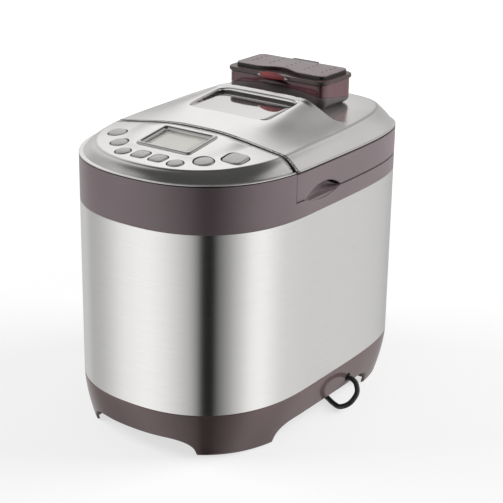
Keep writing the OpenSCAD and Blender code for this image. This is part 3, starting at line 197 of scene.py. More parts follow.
def brushedSteel():
    # brushed stainless sheet: hair lines run round the body, so lights stretch up and down
    material = finish("brushed stainless sheet", "#f4f3f1", ("#f2f1ef", "#f6f5f3"), 0.7, (0.22, 0.27), 0.7,
                      (0.03, 0.03, 1), Metallic=1.0, Anisotropic=0.85)
    tree, shader = material.node_tree, material.node_tree.nodes["Principled BSDF"]
    turn = addNode(tree, "ShaderNodeTangent", {"direction_type": "RADIAL", "axis": "Z"})
    tree.links.new(turn.outputs["Tangent"], shader.inputs["Tangent"])
    shader.inputs["Anisotropic Rotation"].default_value = 0.25
    return material


def mauveLacquer(name, code, other, low, high):
    # ABS under mauve brown lacquer with fine metal flake: it shades from near black to pale mauve
    return finish(name, code, (code, other), 60, (low, high), 25, Metallic=0.2, IOR=1.53)


def darkAbs(name="charcoal ABS, gloss moulded", code="#3a3537", other="#403b3d", low=0.16, high=0.24):
    # moulded ABS, as it leaves a polished mould: an even colour with a clean gloss
    return finish(name, code, (code, other), 30, (low, high), 12, IOR=1.53)


def rubberSkin(name="natural rubber, matt", code="#262528", other="#2e2c2f", low=0.6, high=0.75):
    # matt rubber or soft vinyl: dull, with a dusty grain
    material = finish(name, code, (code, other), 8, (low, high), 3, IOR=1.52)
    grained(material.node_tree, material.node_tree.nodes["Principled BSDF"], 0.6, 0.02)
    return material


def metalPlate(name, code, other, low, high, size=4, stretch=(1, 1, 1)):
    # plain metal parts of the works: rolled, turned or cast
    return finish(name, code, (code, other), size * 4, (low, high), size, stretch, Metallic=1.0)


steel = brushedSteel()
bandPlastic = mauveLacquer("mauve lacquered ABS, satin", "#88797d", "#8e7f83", 0.28, 0.34)
basePlastic = mauveLacquer("mauve lacquered ABS, gloss", "#7a6667", "#806c6d", 0.10, 0.14)

# ABS in polished silver lacquer: it mirrors softly, from white to near black
silver = finish("silver lacquered ABS", "#efedeb", ("#edebe9", "#f1efed"), 40, (0.17, 0.21), 18,
                Metallic=0.95)

# bright chromed plastic of thin trims: clear, hard reflections
chrome = finish("chromed trim", "#d9d8d7", None, None, (0.10, 0.16), 12, Metallic=1.0)

# keys in darker silver lacquer under a glossy clear coat
keySilver = finish("key lacquer, silver grey", "#b3b0ae", ("#b0adab", "#b8b5b3"), 15, (0.25, 0.32), 8,
                   Metallic=0.6, Coat_Weight=0.6, Coat_Roughness=0.08)

charcoal = darkAbs()
# brown black ABS of the hinge barrel, the hinge block and the plateau's upright sides; the same black is
# painted shade in the open seams, the reveals, the groove walls under the shells' cut edges and the vents
blackAbsAndPaintedShade = darkAbs("brown black ABS, and painted shade in seams and slots", "#1b1413", "#211918", 0.3, 0.4)

# clear SAN resin dyed wine red: dark where it is thick, pink where light comes through
wineResin = finish("wine SAN resin, translucent", "#7c4b57", ("#75424e", "#824e5a"), 45, (0.12, 0.18), 20,
                   IOR=1.57, Transmission_Weight=0.35, Coat_Weight=0.5)

# toughened glass with a thin mirror coat: pale, and it shows what stands over it
glass = finish("half-mirrored window glass", "#e4e1df", None, None, (0.03, 0.06), 30, Metallic=0.85, IOR=1.5,
               Transmission_Weight=0.6)

# liquid crystal cell behind acrylic: pale warm grey, even and faintly glossy
screen = finish("liquid crystal display", "#d6d4cc", ("#d2d0c8", "#dad8d1"), 40, (0.3, 0.38), 20, IOR=1.49,
                Coat_Weight=0.6, Coat_Roughness=0.05)

feetRubber = rubberSkin()
cordVinyl = rubberSkin("PVC cord sheath", "#363b3a", "#3e4442", 0.38, 0.5)
print("outer materials made")


# surfaces

def rawObject(name, points, faces):
    # points in millimetres; a shell that came out inside-out by its signed volume is turned round
    points = np.asarray(points, float).reshape(-1, 3)
    faces = [np.asarray(group, int) for group in faces]
    volume = 0.0
    for group in faces:
        a = points[group[:, 0]]
        for k in range(1, group.shape[1] - 1):
            volume += np.einsum("ij,ij->", a, np.cross(points[group[:, k]], points[group[:, k + 1]]))
    if volume < 0:
        faces = [group[:, ::-1] for group in faces]
    mesh = bpy.data.meshes.new(name)
    mesh.from_pydata((points * mm).tolist(), [], [row for group in faces for row in group.tolist()])
    piece = bpy.data.objects.new(name, mesh)
    bpy.context.collection.objects.link(piece)
    return piece


def rawStack(name, rings):
    # plain solid through rings of points, for cutting
    points, faces = lidFaces(rings, *rings.shape[:2])
    return rawObject(name, points, faces)


def makePiece(name, points, faces, material, body, slot, replaced=(), sharp=35):
    piece = rawObject(name, points, faces)
    piece.data.materials.append(material)
    piece.data.shade_smooth()
    piece.data.set_sharp_from_angle(angle=math.radians(sharp))
    if replaced:
        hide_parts(*([replaced] if isinstance(replaced, str) else replaced))
    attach(piece, body)
    return piece


def gridFaces(rows, columns, loopRows=True, loopColumns=True, first=0):
    # quads of a grid of points, closed round on itself along either side
    r = np.arange(rows if loopRows else rows - 1)[:, None]
    c = np.arange(columns if loopColumns else columns - 1)[None, :]
    r2, c2 = (r + 1) % rows, (c + 1) % columns
    quads = np.stack([r * columns + c, r * columns + c2, r2 * columns + c2, r2 * columns + c], -1)
    return first + quads.reshape(-1, 4)


def lidFaces(points, rows, columns):
    # a stack of rings with its first and last ring closed by a fan round a middle point
    ends = np.stack([points[0].mean(0), points[-1].mean(0)])
    flat = np.concatenate([points.reshape(-1, 3), ends])
    c = np.arange(columns)
    c2 = (c + 1) % columns
    top = np.stack([np.full(columns, rows * columns), c2, c], -1)
    last = (rows - 1) * columns
    bottom = np.stack([np.full(columns, rows * columns + 1), last + c, last + c2], -1)
    return flat, [gridFaces(rows, columns, loopRows=False), top, bottom]


def ringPiece(name, rings, *rest, **options):
    # closed band through rings of points that come round to the first again
    rings = np.asarray(rings, float)
    return makePiece(name, rings, [gridFaces(*rings.shape[:2])], *rest, **options)


def stackPiece(name, rings, *rest, **options):
    # solid through rings of points, closed at both ends
    rings = np.asarray(rings, float)
    points, faces = lidFaces(rings, *rings.shape[:2])
    return makePiece(name, points, faces, *rest, **options)


def smooth(t):
    # 0 to 1 along 3t^2 - 2t^3
    t = np.clip(t, 0, 1)
    return t * t * (3 - 2 * t)


def curveAt(y):
    # exponent of the half oval that y lies in
    return np.where(y < wideY, plan["frontCurve"], plan["rearCurve"])


def level(x, y, inset):
    # sum of |x / a|^n and |y / b|^n: 1 on the oval drawn in by inset, less inside it
    n = curveAt(y)
    b = np.where(y < wideY, plan["front"], plan["rear"]) - inset
    return np.abs(x / (plan["halfWidth"] - inset)) ** n + np.abs((y - wideY) / b) ** n


def reach(centreY, angle, inset):
    # distance from (0, centreY) to that oval along each angle, by halving
    low, high = np.zeros_like(angle), np.full_like(angle, 400.0)
    for _ in range(36):
        mid = (low + high) / 2
        inside = level(mid * np.cos(angle), centreY + mid * np.sin(angle), inset) < 1
        low, high = np.where(inside, mid, low), np.where(inside, high, mid)
    return low


def toLine(centreY, angle, y):
    # distance from (0, centreY) along each angle to the straight edge at y, or far where it looks away
    ahead = (y - centreY) * np.sin(angle) > 1e-6
    return np.where(ahead, (y - centreY) / np.where(ahead, np.sin(angle), 1), 1e4)


def evenAngles(count, centreY, radiusAt, exact=()):
    # angles whose points share the outline's length and turning evenly, with the exact ones put in
    a = np.linspace(0, 2 * np.pi, 7201)
    r = radiusAt(a)
    p = np.stack([r * np.cos(a), centreY + r * np.sin(a)], -1)
    step = np.diff(p, axis=0)
    length = np.hypot(step[:, 0], step[:, 1])
    head = np.unwrap(np.arctan2(step[:, 1], step[:, 0]))
    turned = np.abs(np.diff(head, append=head[:1] + 2 * np.pi))
    travel = np.concatenate([[0], np.cumsum(length / length.sum() + 0.6 * turned / turned.sum())])
    even = np.interp(np.linspace(0, travel[-1], count + 1)[:-1], travel, a)
    return np.unique(np.concatenate([even, np.mod(np.asarray(exact, float), 2 * np.pi)]))


def halfWidth(y):
    # half the width of the oval at y
    n = float(curveAt(np.array(y)))
    b = plan["front"] if y < wideY else plan["rear"]
    return plan["halfWidth"] * (1 - (abs(y - wideY) / b) ** n) ** (1 / n)


def cutAngles(count, centre, edge, exact=(), inset=0):
    # even angles for the oval that the straight edge cuts off
    return evenAngles(count, centre, lambda a: np.minimum(reach(centre, a, inset), toLine(centre, a, edge)),
                      exact)


top = {
    "creaseFront": 9, "creaseRise": 13, "creaseSag": 1.3, "crown": 5,
    # the ramp's height, where it begins, its flat half width, where its flanks end beside the window and
    # at the ridge, how fast it falls behind the ridge, and how its flat part widens from the seam backwards
    "ramp": 16, "rampFront": 85, "rampHalf": 50, "rampSide": 112, "rampRear": 98, "rampFall": 12,
    "rampSpread": 100, "rampLead": 30,
}


def topZ(x, y):
    # rim height, plus a crease that climbs backwards, a crown that follows the oval, and the window's ramp
    t = (y - wideY + plan["front"]) / (plan["front"] + plan["rear"])
    crease = top["creaseFront"] + top["creaseRise"] * t - top["creaseSag"] * t * t
    crown = top["crown"] * (1 - np.minimum(1, level(x, y, bevelIn)) ** (2 / curveAt(y)))
    flat = top["rampHalf"] * smooth((y - seamY + top["rampLead"]) / top["rampSpread"])
    climb = np.clip((y - wideY + top["rampFront"]) / (ridgeY - wideY + top["rampFront"]), 0, 1)
    side = top["rampSide"] + (top["rampRear"] - top["rampSide"]) * smooth((y - wideY) / (ridgeY - wideY))
    ramp = (top["ramp"] * climb * (1 - smooth((np.abs(x) - flat) / (side - flat)))
            * (1 - smooth((y - ridgeY) / top["rampFall"])))
    return rimZ + crease + crown + ramp


def softLoop(w, d, r, corner=8, side=8):
    # rounded rectangle of half sizes w and d: four arcs of radius r with straight runs between them
    turn = np.linspace(0, np.pi / 2, corner + 1)
    run = np.linspace(0, 1, side + 1)[1:-1]
    centre = np.array([[1, 1], [-1, 1], [-1, -1], [1, -1]]) * [w - r, d - r]
    quarter = np.arange(4)[:, None] * np.pi / 2 + turn[None, :]
    arcs = centre[:, None, :] + r * np.stack([np.cos(quarter), np.sin(quarter)], -1)
    begin, end = arcs[:, -1, :], np.roll(arcs[:, 0, :], -1, 0)
    runs = begin[:, None, :] + run[None, :, None] * (end - begin)[:, None, :]
    return np.concatenate([arcs, runs], 1).reshape(-1, 2)


def lifted(loop, y, z):
    # a plan loop moved to (0, y) at height z, which is a number or one per point
    return np.stack([loop[:, 0], y + loop[:, 1], np.broadcast_to(z, loop[:, 0].shape)], -1)


# cord

cordSettings = {
    "diameter": 5.5, "sides": 20, "steps": 6,
    "route": [                               # out of its hole, round a loose loop and back under the base
        [113, 40, 28], [119, 40, 28], [125, 39, 27.5], [131, 36, 25], [136, 29.5, 18.5],
        [133, 21, 9.5], [123, 18, 3.5], [112, 22, 2.75], [102, 28, 2.75], [90, 35, 2.75],
        [76, 44, 2.75], [62, 56, 2.75], [50, 71, 2.75], [41, 90, 2.75], [35.5, 112, 2.75],
        [33.5, 137, 2.75], [33, 162, 2.75], [33, 190, 2.75]],
    "coil": (0, 222), "tracks": ((33, 3.55), (27.5, 3.55), (27.5, 9.05), (33, 9.05)),
    "turns": 3.25, "shift": 0.14, "perTurn": 40, "tail": 19,
}
reliefSettings = {"end": 113, "ribs": 7, "ribDepth": 0.35, "ribsFrom": 0.22, "collar": 5.5, "collarTo": 0.15,
                  "root": 4.6, "taper": 1.3}
plugSettings = {
    "y": 255, "neckZ": 9.05, "bodyZ": 7.02, "body": 26, "lap": 2,
    "neck": 2.9, "neckGrow": 2.0, "ribs": 5, "ribDepth": 0.7,
    "half": (6.2, 2.8), "thick": (4.6, 2.4), "nose": 0.18,
}


def smoothRoute(points, steps):
    # Catmull-Rom curve through the points, steps of it between each two
    p = np.concatenate([points[:1], points, points[-1:]])
    t = (np.arange(steps) / steps)[None, :, None]
    a, b, c, d = (p[k:len(p) - 3 + k, None, :] for k in range(4))
    curve = 0.5 * (2 * b + (c - a) * t + (2 * a - 5 * b + 4 * c - d) * t ** 2
                   + (3 * b - a - 3 * c + d) * t ** 3)
    return np.concatenate([curve.reshape(-1, 3), points[-1:]])


def coilPath(s):
    # whole turns on one track after another, each change of track eased over the last part of its turn
    turn = np.linspace(0, s["turns"], int(s["turns"] * s["perTurn"]) + 1)
    track = np.array(s["tracks"], float)
    k = np.minimum(turn.astype(int), len(track) - 1)
    ease = smooth((turn - k - 1 + s["shift"]) / s["shift"])[:, None]
    radius, height = (track[k] * (1 - ease) + track[np.minimum(k + 1, len(track) - 1)] * ease).T
    angle = 2 * np.pi * turn
    x, y = s["coil"]
    return np.stack([x + radius * np.cos(angle), y + radius * np.sin(angle), height], -1)


def tubeRings(path, radius, sides):
    # circles square to the path, their frame carried along it without twist by projecting the last side
    path = np.asarray(path, float)
    along = np.gradient(path, axis=0)
    along /= np.linalg.norm(along, axis=1)[:, None]
    side = np.cross(along, [0, 0, 1.0])
    side /= np.maximum(np.linalg.norm(side, axis=1), 1e-9)[:, None]
    up = np.cross(side, along)
    a = np.linspace(0, 2 * np.pi, sides, endpoint=False)[None, :, None]
    r = np.broadcast_to(radius, len(path))[:, None, None]
    return path[:, None, :] + r * (np.cos(a) * side[:, None, :] + np.sin(a) * up[:, None, :])


def makeCord(s):
    # one round tube along the route, then the coil, then a straight tail into the plug
    coil = coilPath(s)
    tail = coil[-1] + np.linspace(0, s["tail"], 5)[1:, None] * np.array([-1.0, 0, 0])
    route = smoothRoute(np.concatenate([np.array(s["route"], float), coil[:1]]), s["steps"])[:-1]
    path = np.concatenate([route, coil, tail])
    length = float(np.linalg.norm(np.diff(path, axis=0), axis=1).sum())
    piece = stackPiece("mainsCord", tubeRings(path, s["diameter"] / 2, s["sides"]), cordVinyl, "body",
                       "mains_cord", ["mains_cord", "cord_coil"])
    return piece, path, length


def straightRings(x0, x1, y, z, radius, sides):
    # circles along X from x0 to x1, one for each radius
    t = np.linspace(0, 1, len(radius))
    return tubeRings(np.stack([x0 + (x1 - x0) * t, y + 0 * t, z + 0 * t], -1), radius, sides)


def makeRelief(s, exitPoint):
    # ribbed bend guard at the cord's hole: a collar, then a taper with square ribs cut into it
    t = np.linspace(0, 1, 57)
    rib = s["ribDepth"] * (np.sin(t * 2 * np.pi * s["ribs"]) > 0) * (t > s["ribsFrom"])
    radius = np.where(t < s["collarTo"], s["collar"], s["root"] - s["taper"] * t) - rib
    rings = straightRings(boxOf("strain_relief")[0][0], s["end"], exitPoint[1], exitPoint[2], radius, 32)
    return stackPiece("strainRelief", rings, feetRubber, "body", "strain_relief", "strain_relief")


def makePlug(s):
    # moulded plug behind the coil: a ribbed neck, and a rounded body that swells and then draws in at its end
    low, high = boxOf("mains_plug")
    neckX, tailX = float(high[0]), float(low[0]) + s["body"]
    t = np.linspace(0, 1, 41)
    groove = s["ribDepth"] * (np.sin(t * 2 * np.pi * s["ribs"]) > 0.2) * (t > 0.15) * (t < 0.95)
    neck = straightRings(neckX, tailX, s["y"], s["neckZ"], s["neck"] + s["neckGrow"] * t - groove, 24)
    stackPiece("plugNeck", neck, cordVinyl, "body", "mains_plug")
    u = np.linspace(0, 1, 25)
    half = s["half"][0] + s["half"][1] * smooth(u / 0.45)
    thick = s["thick"][0] + s["thick"][1] * smooth(u / 0.5)
    drawn = 1 - s["nose"] * smooth((u - 0.86) / 0.14) ** 2
    loop = softLoop(1, 1, 0.45, 6, 5)
    x = tailX + s["lap"] - (s["body"] + s["lap"]) * u
    rings = np.stack([np.broadcast_to(x[:, None], (len(u), len(loop))),
                      s["y"] + loop[None, :, 0] * (half * drawn)[:, None],
                      np.maximum(s["bodyZ"] + loop[None, :, 1] * (thick * drawn)[:, None], 0.05)], -1)
    return stackPiece("mainsPlug", rings, cordVinyl, "body", "mains_plug", "mains_plug")


cordPiece, cordPath, cordLength = makeCord(cordSettings)
relief = makeRelief(reliefSettings, cordSettings["route"][0])
plug = makePlug(plugSettings)
[[float(v) for v in p] for p in cordPath * mm]
print("cord laid, %.0f mm long" % cordLength)


# body

def loopRow(angle, inset, z, centreY=wideY, edge=None):
    # points of the oval drawn in by inset, cut off by the straight edge that moves in with it
    r = reach(centreY, angle, inset)
    if edge is not None:
        into = 1 if centreY > edge else -1
        r = np.minimum(r, toLine(centreY, angle, edge + into * inset))
    return np.stack([r * np.cos(angle), centreY + r * np.sin(angle), np.broadcast_to(z, r.shape)], -1)


def crossings(centreY, *lines):
    # angles from (0, centreY) at which the oval crosses each line along X, on both sides
    right = [math.atan2(y - centreY, halfWidth(y)) for y in lines]
    return right + [np.pi - angle for angle in right]


bodyAngles = evenAngles(640, wideY, lambda a: reach(wideY, a, 0))

baseSettings = {
    "top": float(wrapLow[2]), "foot": 1, "inset": 8.5, "bow": 1.6,
    "archHeight": 19, "archCurve": 34, "archRound": 0.8, "frontArch": 68.5,
    "sideFront": 44, "sideRear": 142,
    "lip": 1.6, "floor": 20, "floorThick": 2.5, "web": 13, "webThick": 2.2, "webGap": 0.6, "edgeRound": 0.7,
    "holeY": wideY + 84.25, "holeZ": 28, "holeRadius": 5,
}


def archHeight(s, d):
    # height of an arch at distance d inside its end: a rounded rise, then level
    c = 1 - np.clip(d / s["archCurve"], 0, 1)
    return s["archHeight"] * (1 - c ** (2 / s["archRound"])) ** (s["archRound"] / 2) * (d > 0)


def makeBase(s):
    # a wall round the oval that draws in towards its foot and is cut up into arches from below, then a floor
    # inside it and webs at the arches' ends
    a = bodyAngles
    edge = loopRow(a, 0, 0)
    x, y = edge[:, 0], edge[:, 1]
    side = np.minimum(y - (wideY - s["sideFront"]), (wideY + s["sideRear"]) - y)
    low = np.maximum(s["foot"], np.maximum(archHeight(s, s["frontArch"] - np.abs(x)), archHeight(s, side)))
    start = low + s["edgeRound"]

    def draw(z):
        return s["inset"] * (1 - np.clip(z / s["top"], 0, 1)) ** s["bow"]
    rows = []
    for t in np.linspace(0, 1, 27)[:-1]:     # outside, from the arches' edge up to the lip
        z = start + (s["top"] - s["lip"] - start) * t
        rows.append(loopRow(a, draw(z), z))
    for turn in np.linspace(0, np.pi / 2, 6):
        z = s["top"] - s["lip"] * (1 - np.sin(turn))
        rows.append(loopRow(a, draw(z) + s["lip"] * (1 - np.cos(turn)) * 0.8, z))
    for t in np.linspace(1, 0, 8):
        z = start + (s["top"] - 0.2 - start) * t
        rows.append(loopRow(a, draw(z) + wall, z))
    rows += [loopRow(a, draw(low) + wall * part, low) for part in (0.75, 0.25)]
    skirt = ringPiece("baseSkirt", rows, basePlastic, "body", "base_housing", "base_housing", sharp=40)
    fz, ft = s["floor"], s["floorThick"]
    inner = draw(fz) + wall / 2
    rings = [loopRow(a, inner + k, fz + ft) for k in (90, 40, 1, 0)]
    rings += [loopRow(a, inner + k, fz) for k in (0, 1, 40, 90)]
    stackPiece("baseFloor", rings, charcoal, "body", "base_housing")
    heights = np.linspace(s["foot"], fz + 0.5, 9)     # webs that close the feet at the ends of the arches
    edges = [loopRow(a, draw(z) + wall / 2, z) for z in heights]

    def web(axis, near, far, out):
        # a thin upright plate across one axis, from the skirt's inner face inwards
        rings = []
        for ring in edges:
            ring = ring[ring[:, 1 - axis] * out > (wideY * out if axis == 0 else 0)]
            ring = ring[np.argsort(ring[:, axis])]
            edge = np.interp((near + far) / 2, ring[:, axis], ring[:, 1 - axis])
            corners = [(near, edge), (near, edge - out * s["web"]), (far, edge - out * s["web"]), (far, edge)]
            rings.append([(p, q, ring[0, 2]) if axis == 0 else (q, p, ring[0, 2]) for p, q in corners])
        stackPiece("archWeb", np.array(rings), charcoal, "body", "base_housing", sharp=50)
    gap, thick = s["webGap"], s["webThick"]
    for out in (-1, 1):
        web(1, wideY - s["sideFront"] - gap - thick, wideY - s["sideFront"] - gap, out)
        web(1, wideY + s["sideRear"] + gap, wideY + s["sideRear"] + gap + thick, out)
        web(0, -s["frontArch"] - gap - thick, -s["frontArch"] - gap, out)
        web(0, s["frontArch"] + gap, s["frontArch"] + gap + thick, out)
    return skirt


def cutHoles(piece, cutters, operation="DIFFERENCE"):
    # exact boolean of every cutter with the piece, after which the cutters go
    for cutter in cutters:
        change = piece.modifiers.new("hole", "BOOLEAN")
        change.operation, change.solver, change.object = operation, "EXACT", cutter
    made = bpy.data.meshes.new_from_object(piece.evaluated_get(bpy.context.evaluated_depsgraph_get()))
    old = piece.data
    piece.modifiers.clear()
    piece.data = made
    bpy.data.meshes.remove(old)
    for cutter in cutters:
        bpy.data.objects.remove(cutter)
    made.set_sharp_from_angle(angle=math.radians(35))


def rawBox(low, high):
    # plain box between two corners, for cutting
    corners = [(x, y, z) for x in (low[0], high[0]) for y in (low[1], high[1]) for z in (low[2], high[2])]
    faces = [(0, 1, 3, 2), (4, 6, 7, 5), (0, 4, 5, 1), (2, 3, 7, 6), (0, 2, 6, 4), (1, 5, 7, 3)]
    return rawObject("boxCutter", corners, [faces])


def roundBar(x0, x1, y, z, radius, sides=40):
    # rings of a bar along X
    a = np.linspace(0, 2 * np.pi, sides, endpoint=False)
    return np.stack([np.stack([np.full(sides, x), y + radius * np.cos(a), z + radius * np.sin(a)], -1)
                     for x in (x0, x1)])


def cordHole(s):
    # cutter of the round hole that the cord leaves by
    rings = roundBar(90, 130, s["holeY"], s["holeZ"], s["holeRadius"])
    return rawStack("holeCutter", rings)


baseSkirt = makeBase(baseSettings)
cutHoles(baseSkirt, [cordHole(baseSettings)])

wrapSettings = {"thick": 0.8, "hem": 0.35}


def makeWrap(s):
    # upright sheet round the oval, hemmed at both edges
    low, high = float(wrapLow[2]), float(wrapHigh[2])
    a = bodyAngles
    rows = [loopRow(a, s["hem"], low), loopRow(a, 0, low + s["hem"])]
    rows += [loopRow(a, 0, z) for z in np.linspace(low + 2, high - 2, 12)]
    rows += [loopRow(a, 0, high - s["hem"]), loopRow(a, s["hem"], high)]
    rows += [loopRow(a, s["thick"], high), loopRow(a, s["thick"], low)]
    return ringPiece("bodyWrap", rows, steel, "body", "body_wrap", "body_wrap")


makeWrap(wrapSettings)

frameSettings = {
    "low": float(wrapHigh[2]), "joint": 1.5, "edge": 0.5, "sideGap": 0.5,
    "scoopY": wideY + 20, "scoopHalf": 32, "scoopRise": 11, "scoopDrop": 6, "scoopDepth": 14,
    "pocket": 1.4, "under": 0.7, "reveal": 2.1,
    # the strip of painted shade behind the rim's reveal: its inset, thickness and laps, and the reveal's own
    # depth
    "darkInset": 1.1, "darkThick": 0.4, "darkLap": 0.2, "darkShort": 0.1, "revealDeep": 1.4,
    "frontReveal": 0.6,                      # share of the reveal that the front has
    # the strip of painted shade behind the seam, set further back behind a scoop, and how far it reaches
    # below the seam
    "seamThick": 1, "seamBack": 4, "seamLap": 1,
    "deckLow": 246.5, "deck": 2.5, "ovenX": 99.3, "ovenY": 89.3, "ovenCorner": 31.3, "ovenMiddle": wideY + 92,
    "hingeX": 60, "knuckle": 4.5, "lidHalf": 7.7, "bodyWide": 8, "gap": 0.3,
}
bandTop = seamZ - frameSettings["joint"] / 2
skirtLow = seamZ + frameSettings["joint"] / 2
blockY = seamY - frameSettings["sideGap"] / 2
skirtY = seamY + frameSettings["sideGap"] / 2


def chordArc(half, rise, u):
    # height over its chord of the circular arc that spans the chord and rises by rise at its middle
    r = (half * half + rise * rise) / (2 * rise)
    return np.sqrt(np.maximum(r * r - u * u, 0)) - (r - rise)


def scoopRows(s, edge):
    # where the finger scoop cuts each column of the wall: its lower edge, its arch, its depth, and
    # whether it does
    u = edge[:, 1] - s["scoopY"]
    inside = (np.abs(u) < s["scoopHalf"]) & (np.abs(edge[:, 0]) > 60)
    u = np.where(inside, u, s["scoopHalf"])
    low = np.minimum(bandTop, seamZ - np.maximum(chordArc(s["scoopHalf"], s["scoopDrop"], u), 0))
    high = np.maximum(skirtLow, seamZ + np.maximum(chordArc(s["scoopHalf"], s["scoopRise"], u), 0))
    return low, high, s["scoopDepth"] * np.sqrt(np.clip(1 - (u / s["scoopHalf"]) ** 2, 0, 1)), inside


def scoopEnds(s):
    # depths at which the finger scoops begin and end
    return s["scoopY"] - s["scoopHalf"], s["scoopY"] + s["scoopHalf"]


def darkStrip(name, row, near, thick, low, high, body, slot):
    # closed black band behind an open seam, painted shade for the gap: row gives its points at an inset and a
    # height
    corners = ((near, low), (near, high), (near + thick, high), (near + thick, low))
    ringPiece(name, [row(*corner) for corner in corners], blackAbsAndPaintedShade, body, slot)


def makeBand(s):
    # ring round the body up to the lid's seam, with a finger scoop hollowed out of either side
    a = evenAngles(700, wideY, lambda v: reach(wideY, v, 0), crossings(wideY, *scoopEnds(s)))
    z, high, depth, inside = scoopRows(s, loopRow(a, 0, 0))
    high = np.where(inside, np.maximum(high - s["under"], z), bandTop)
    front = loopRow(a, 0, 0)[:, 1] < blockY
    e = np.where(front, 0.0, s["edge"])
    low = s["low"]
    rows = [loopRow(a, s["edge"], low), loopRow(a, s["edge"] * 0.3, low + s["edge"] * 0.3),
            loopRow(a, 0, low + s["edge"])]
    rows += [loopRow(a, 0, low + s["edge"] + (z - e - low - s["edge"]) * t) for t in np.linspace(0.1, 1, 9)]
    rows += [loopRow(a, e * 0.3, z - e * 0.3), loopRow(a, e, z)]

    def dish(t):
        return depth * (1 - (1 - t) ** 3) ** 0.6
    for t in np.linspace(0, 1, 19)[1:] ** 2:         # the hollow, in and up behind the lid's arch
        rows.append(loopRow(a, np.maximum(e, dish(t)), z + (high - z) * t))
    for t in np.linspace(1, 0, 8):
        inset = np.maximum(wall, dish(t) + s["pocket"])
        rows.append(loopRow(a, inset, z + (high - z) * t - s["pocket"] * (1 - t)))
    rows.append(loopRow(a, wall, low))
    inside = inside & (np.abs(loopRow(a, 0, 0)[:, 1] - s["scoopY"]) < s["scoopHalf"] - 0.5)
    behind = np.where(inside, s["scoopDepth"] + s["seamBack"], s["darkInset"])
    # painted shade: a black band behind the band's seam and deeper behind each scoop
    darkStrip("seamShadow", lambda inset, z: loopRow(a, inset, z), behind, s["seamThick"],
              bandTop - s["seamLap"], skirtLow - s["darkShort"], "body", "top_frame")
    return ringPiece("bandRing", rows, bandPlastic, "body", "top_frame", "top_frame")


def makeBlock(s):
    # front part of the frame, a closed wall in the shape of a D up to the rim
    centre = wideY - 57
    a = cutAngles(520, centre, blockY, crossings(centre, blockY))

    def row(inset, z):
        return loopRow(a, inset, z, centre, blockY)
    chord = row(0, 0)[:, 1] > blockY - 0.01
    low = np.where(chord, s["deckLow"], bandTop)
    reveal = rimZ - s["reveal"] * s["frontReveal"]
    lap, deep = reveal - s["darkLap"], s["revealDeep"]
    rows = [row(0, low)] + [row(0, low + (lap - low) * t) for t in np.linspace(0.08, 1, 10)]
    rows += [row(*p) for p in ((0, reveal), (deep, reveal), (deep, rimZ), (wall, rimZ), (wall, low))]
    # painted shade: a black strip behind the reveal under the panel's rim
    darkStrip("frontReveal", row, s["darkInset"], s["darkThick"], lap, rimZ - s["darkShort"], "body",
              "top_frame")
    return ringPiece("frontBlock", rows, bandPlastic, "body", "top_frame")


def cornerReach(w, d, r, angle):
    # distance along each angle to a rounded rectangle about the origin, by halving
    low, high = np.zeros_like(angle), np.full_like(angle, w + d)
    for _ in range(36):
        mid = (low + high) / 2
        qx, qy = np.abs(mid * np.cos(angle)) - (w - r), np.abs(mid * np.sin(angle)) - (d - r)
        away = np.hypot(np.maximum(qx, 0), np.maximum(qy, 0)) + np.minimum(np.maximum(qx, qy), 0) - r
        low, high = np.where(away < 0, mid, low), np.where(away < 0, high, mid)
    return low


def makeDeck(s):
    # flat plate between the body's wall and a rounded rectangle round the oven
    centre = s["ovenMiddle"]
    line = blockY - wall
    a = cutAngles(420, centre, line, inset=wall / 2)
    r = cornerReach(s["ovenX"], s["ovenY"], s["ovenCorner"], a)
    hole = np.stack([r * np.cos(a), centre + r * np.sin(a)], -1)
    out = loopRow(a, wall / 2, 0, centre, line - wall / 2)[:, :2]
    z0, z1 = s["deckLow"], s["deckLow"] + s["deck"]
    corners = ((hole, z0), (out, z0), (out, z1), (hole, z1))
    rings = [np.column_stack([ring, np.full(len(a), z)]) for ring, z in corners]
    return ringPiece("deckPlate", rings, bandPlastic, "body", "top_frame")


def knuckleRings(s, x, width, up):
    # hinge barrel with a web back to the wall: a circle drawn out flat on the wall's side
    a = np.linspace(0, 2 * np.pi, 48, endpoint=False)
    cy, cz = np.cos(a) * s["knuckle"], np.sin(a) * s["knuckle"]
    y = np.where(cy < 0, -np.where(cz * up > 0, s["knuckle"] + 1.5, -cy), cy)
    ends = ((-width / 2, 0.93), (-width / 2 + 0.4, 1), (width / 2 - 0.4, 1), (width / 2, 0.93))
    return np.stack([np.stack([np.full(48, x + dx), hinge[1] + y * k, hinge[2] + cz * k], -1)
                     for dx, k in ends])


def makeKnuckles(s):
    # two hinges, each a barrel on the lid between two on the body
    for k, x in enumerate((-s["hingeX"], s["hingeX"])):
        for e in (-1, 1):
            off = e * (s["lidHalf"] + s["gap"] + s["bodyWide"] / 2)
            name = "bodyKnuckle%d" % (2 * k + (e > 0))
            stackPiece(name, knuckleRings(s, x + off, s["bodyWide"], -1), bandPlastic, "body", "top_frame")
        stackPiece("lidKnuckle%d" % k, knuckleRings(s, x, 2 * s["lidHalf"], 1), bandPlastic, "lid",
                   "lid_skirt")


makeBand(frameSettings)
makeBlock(frameSettings)
makeDeck(frameSettings)
makeKnuckles(frameSettings)


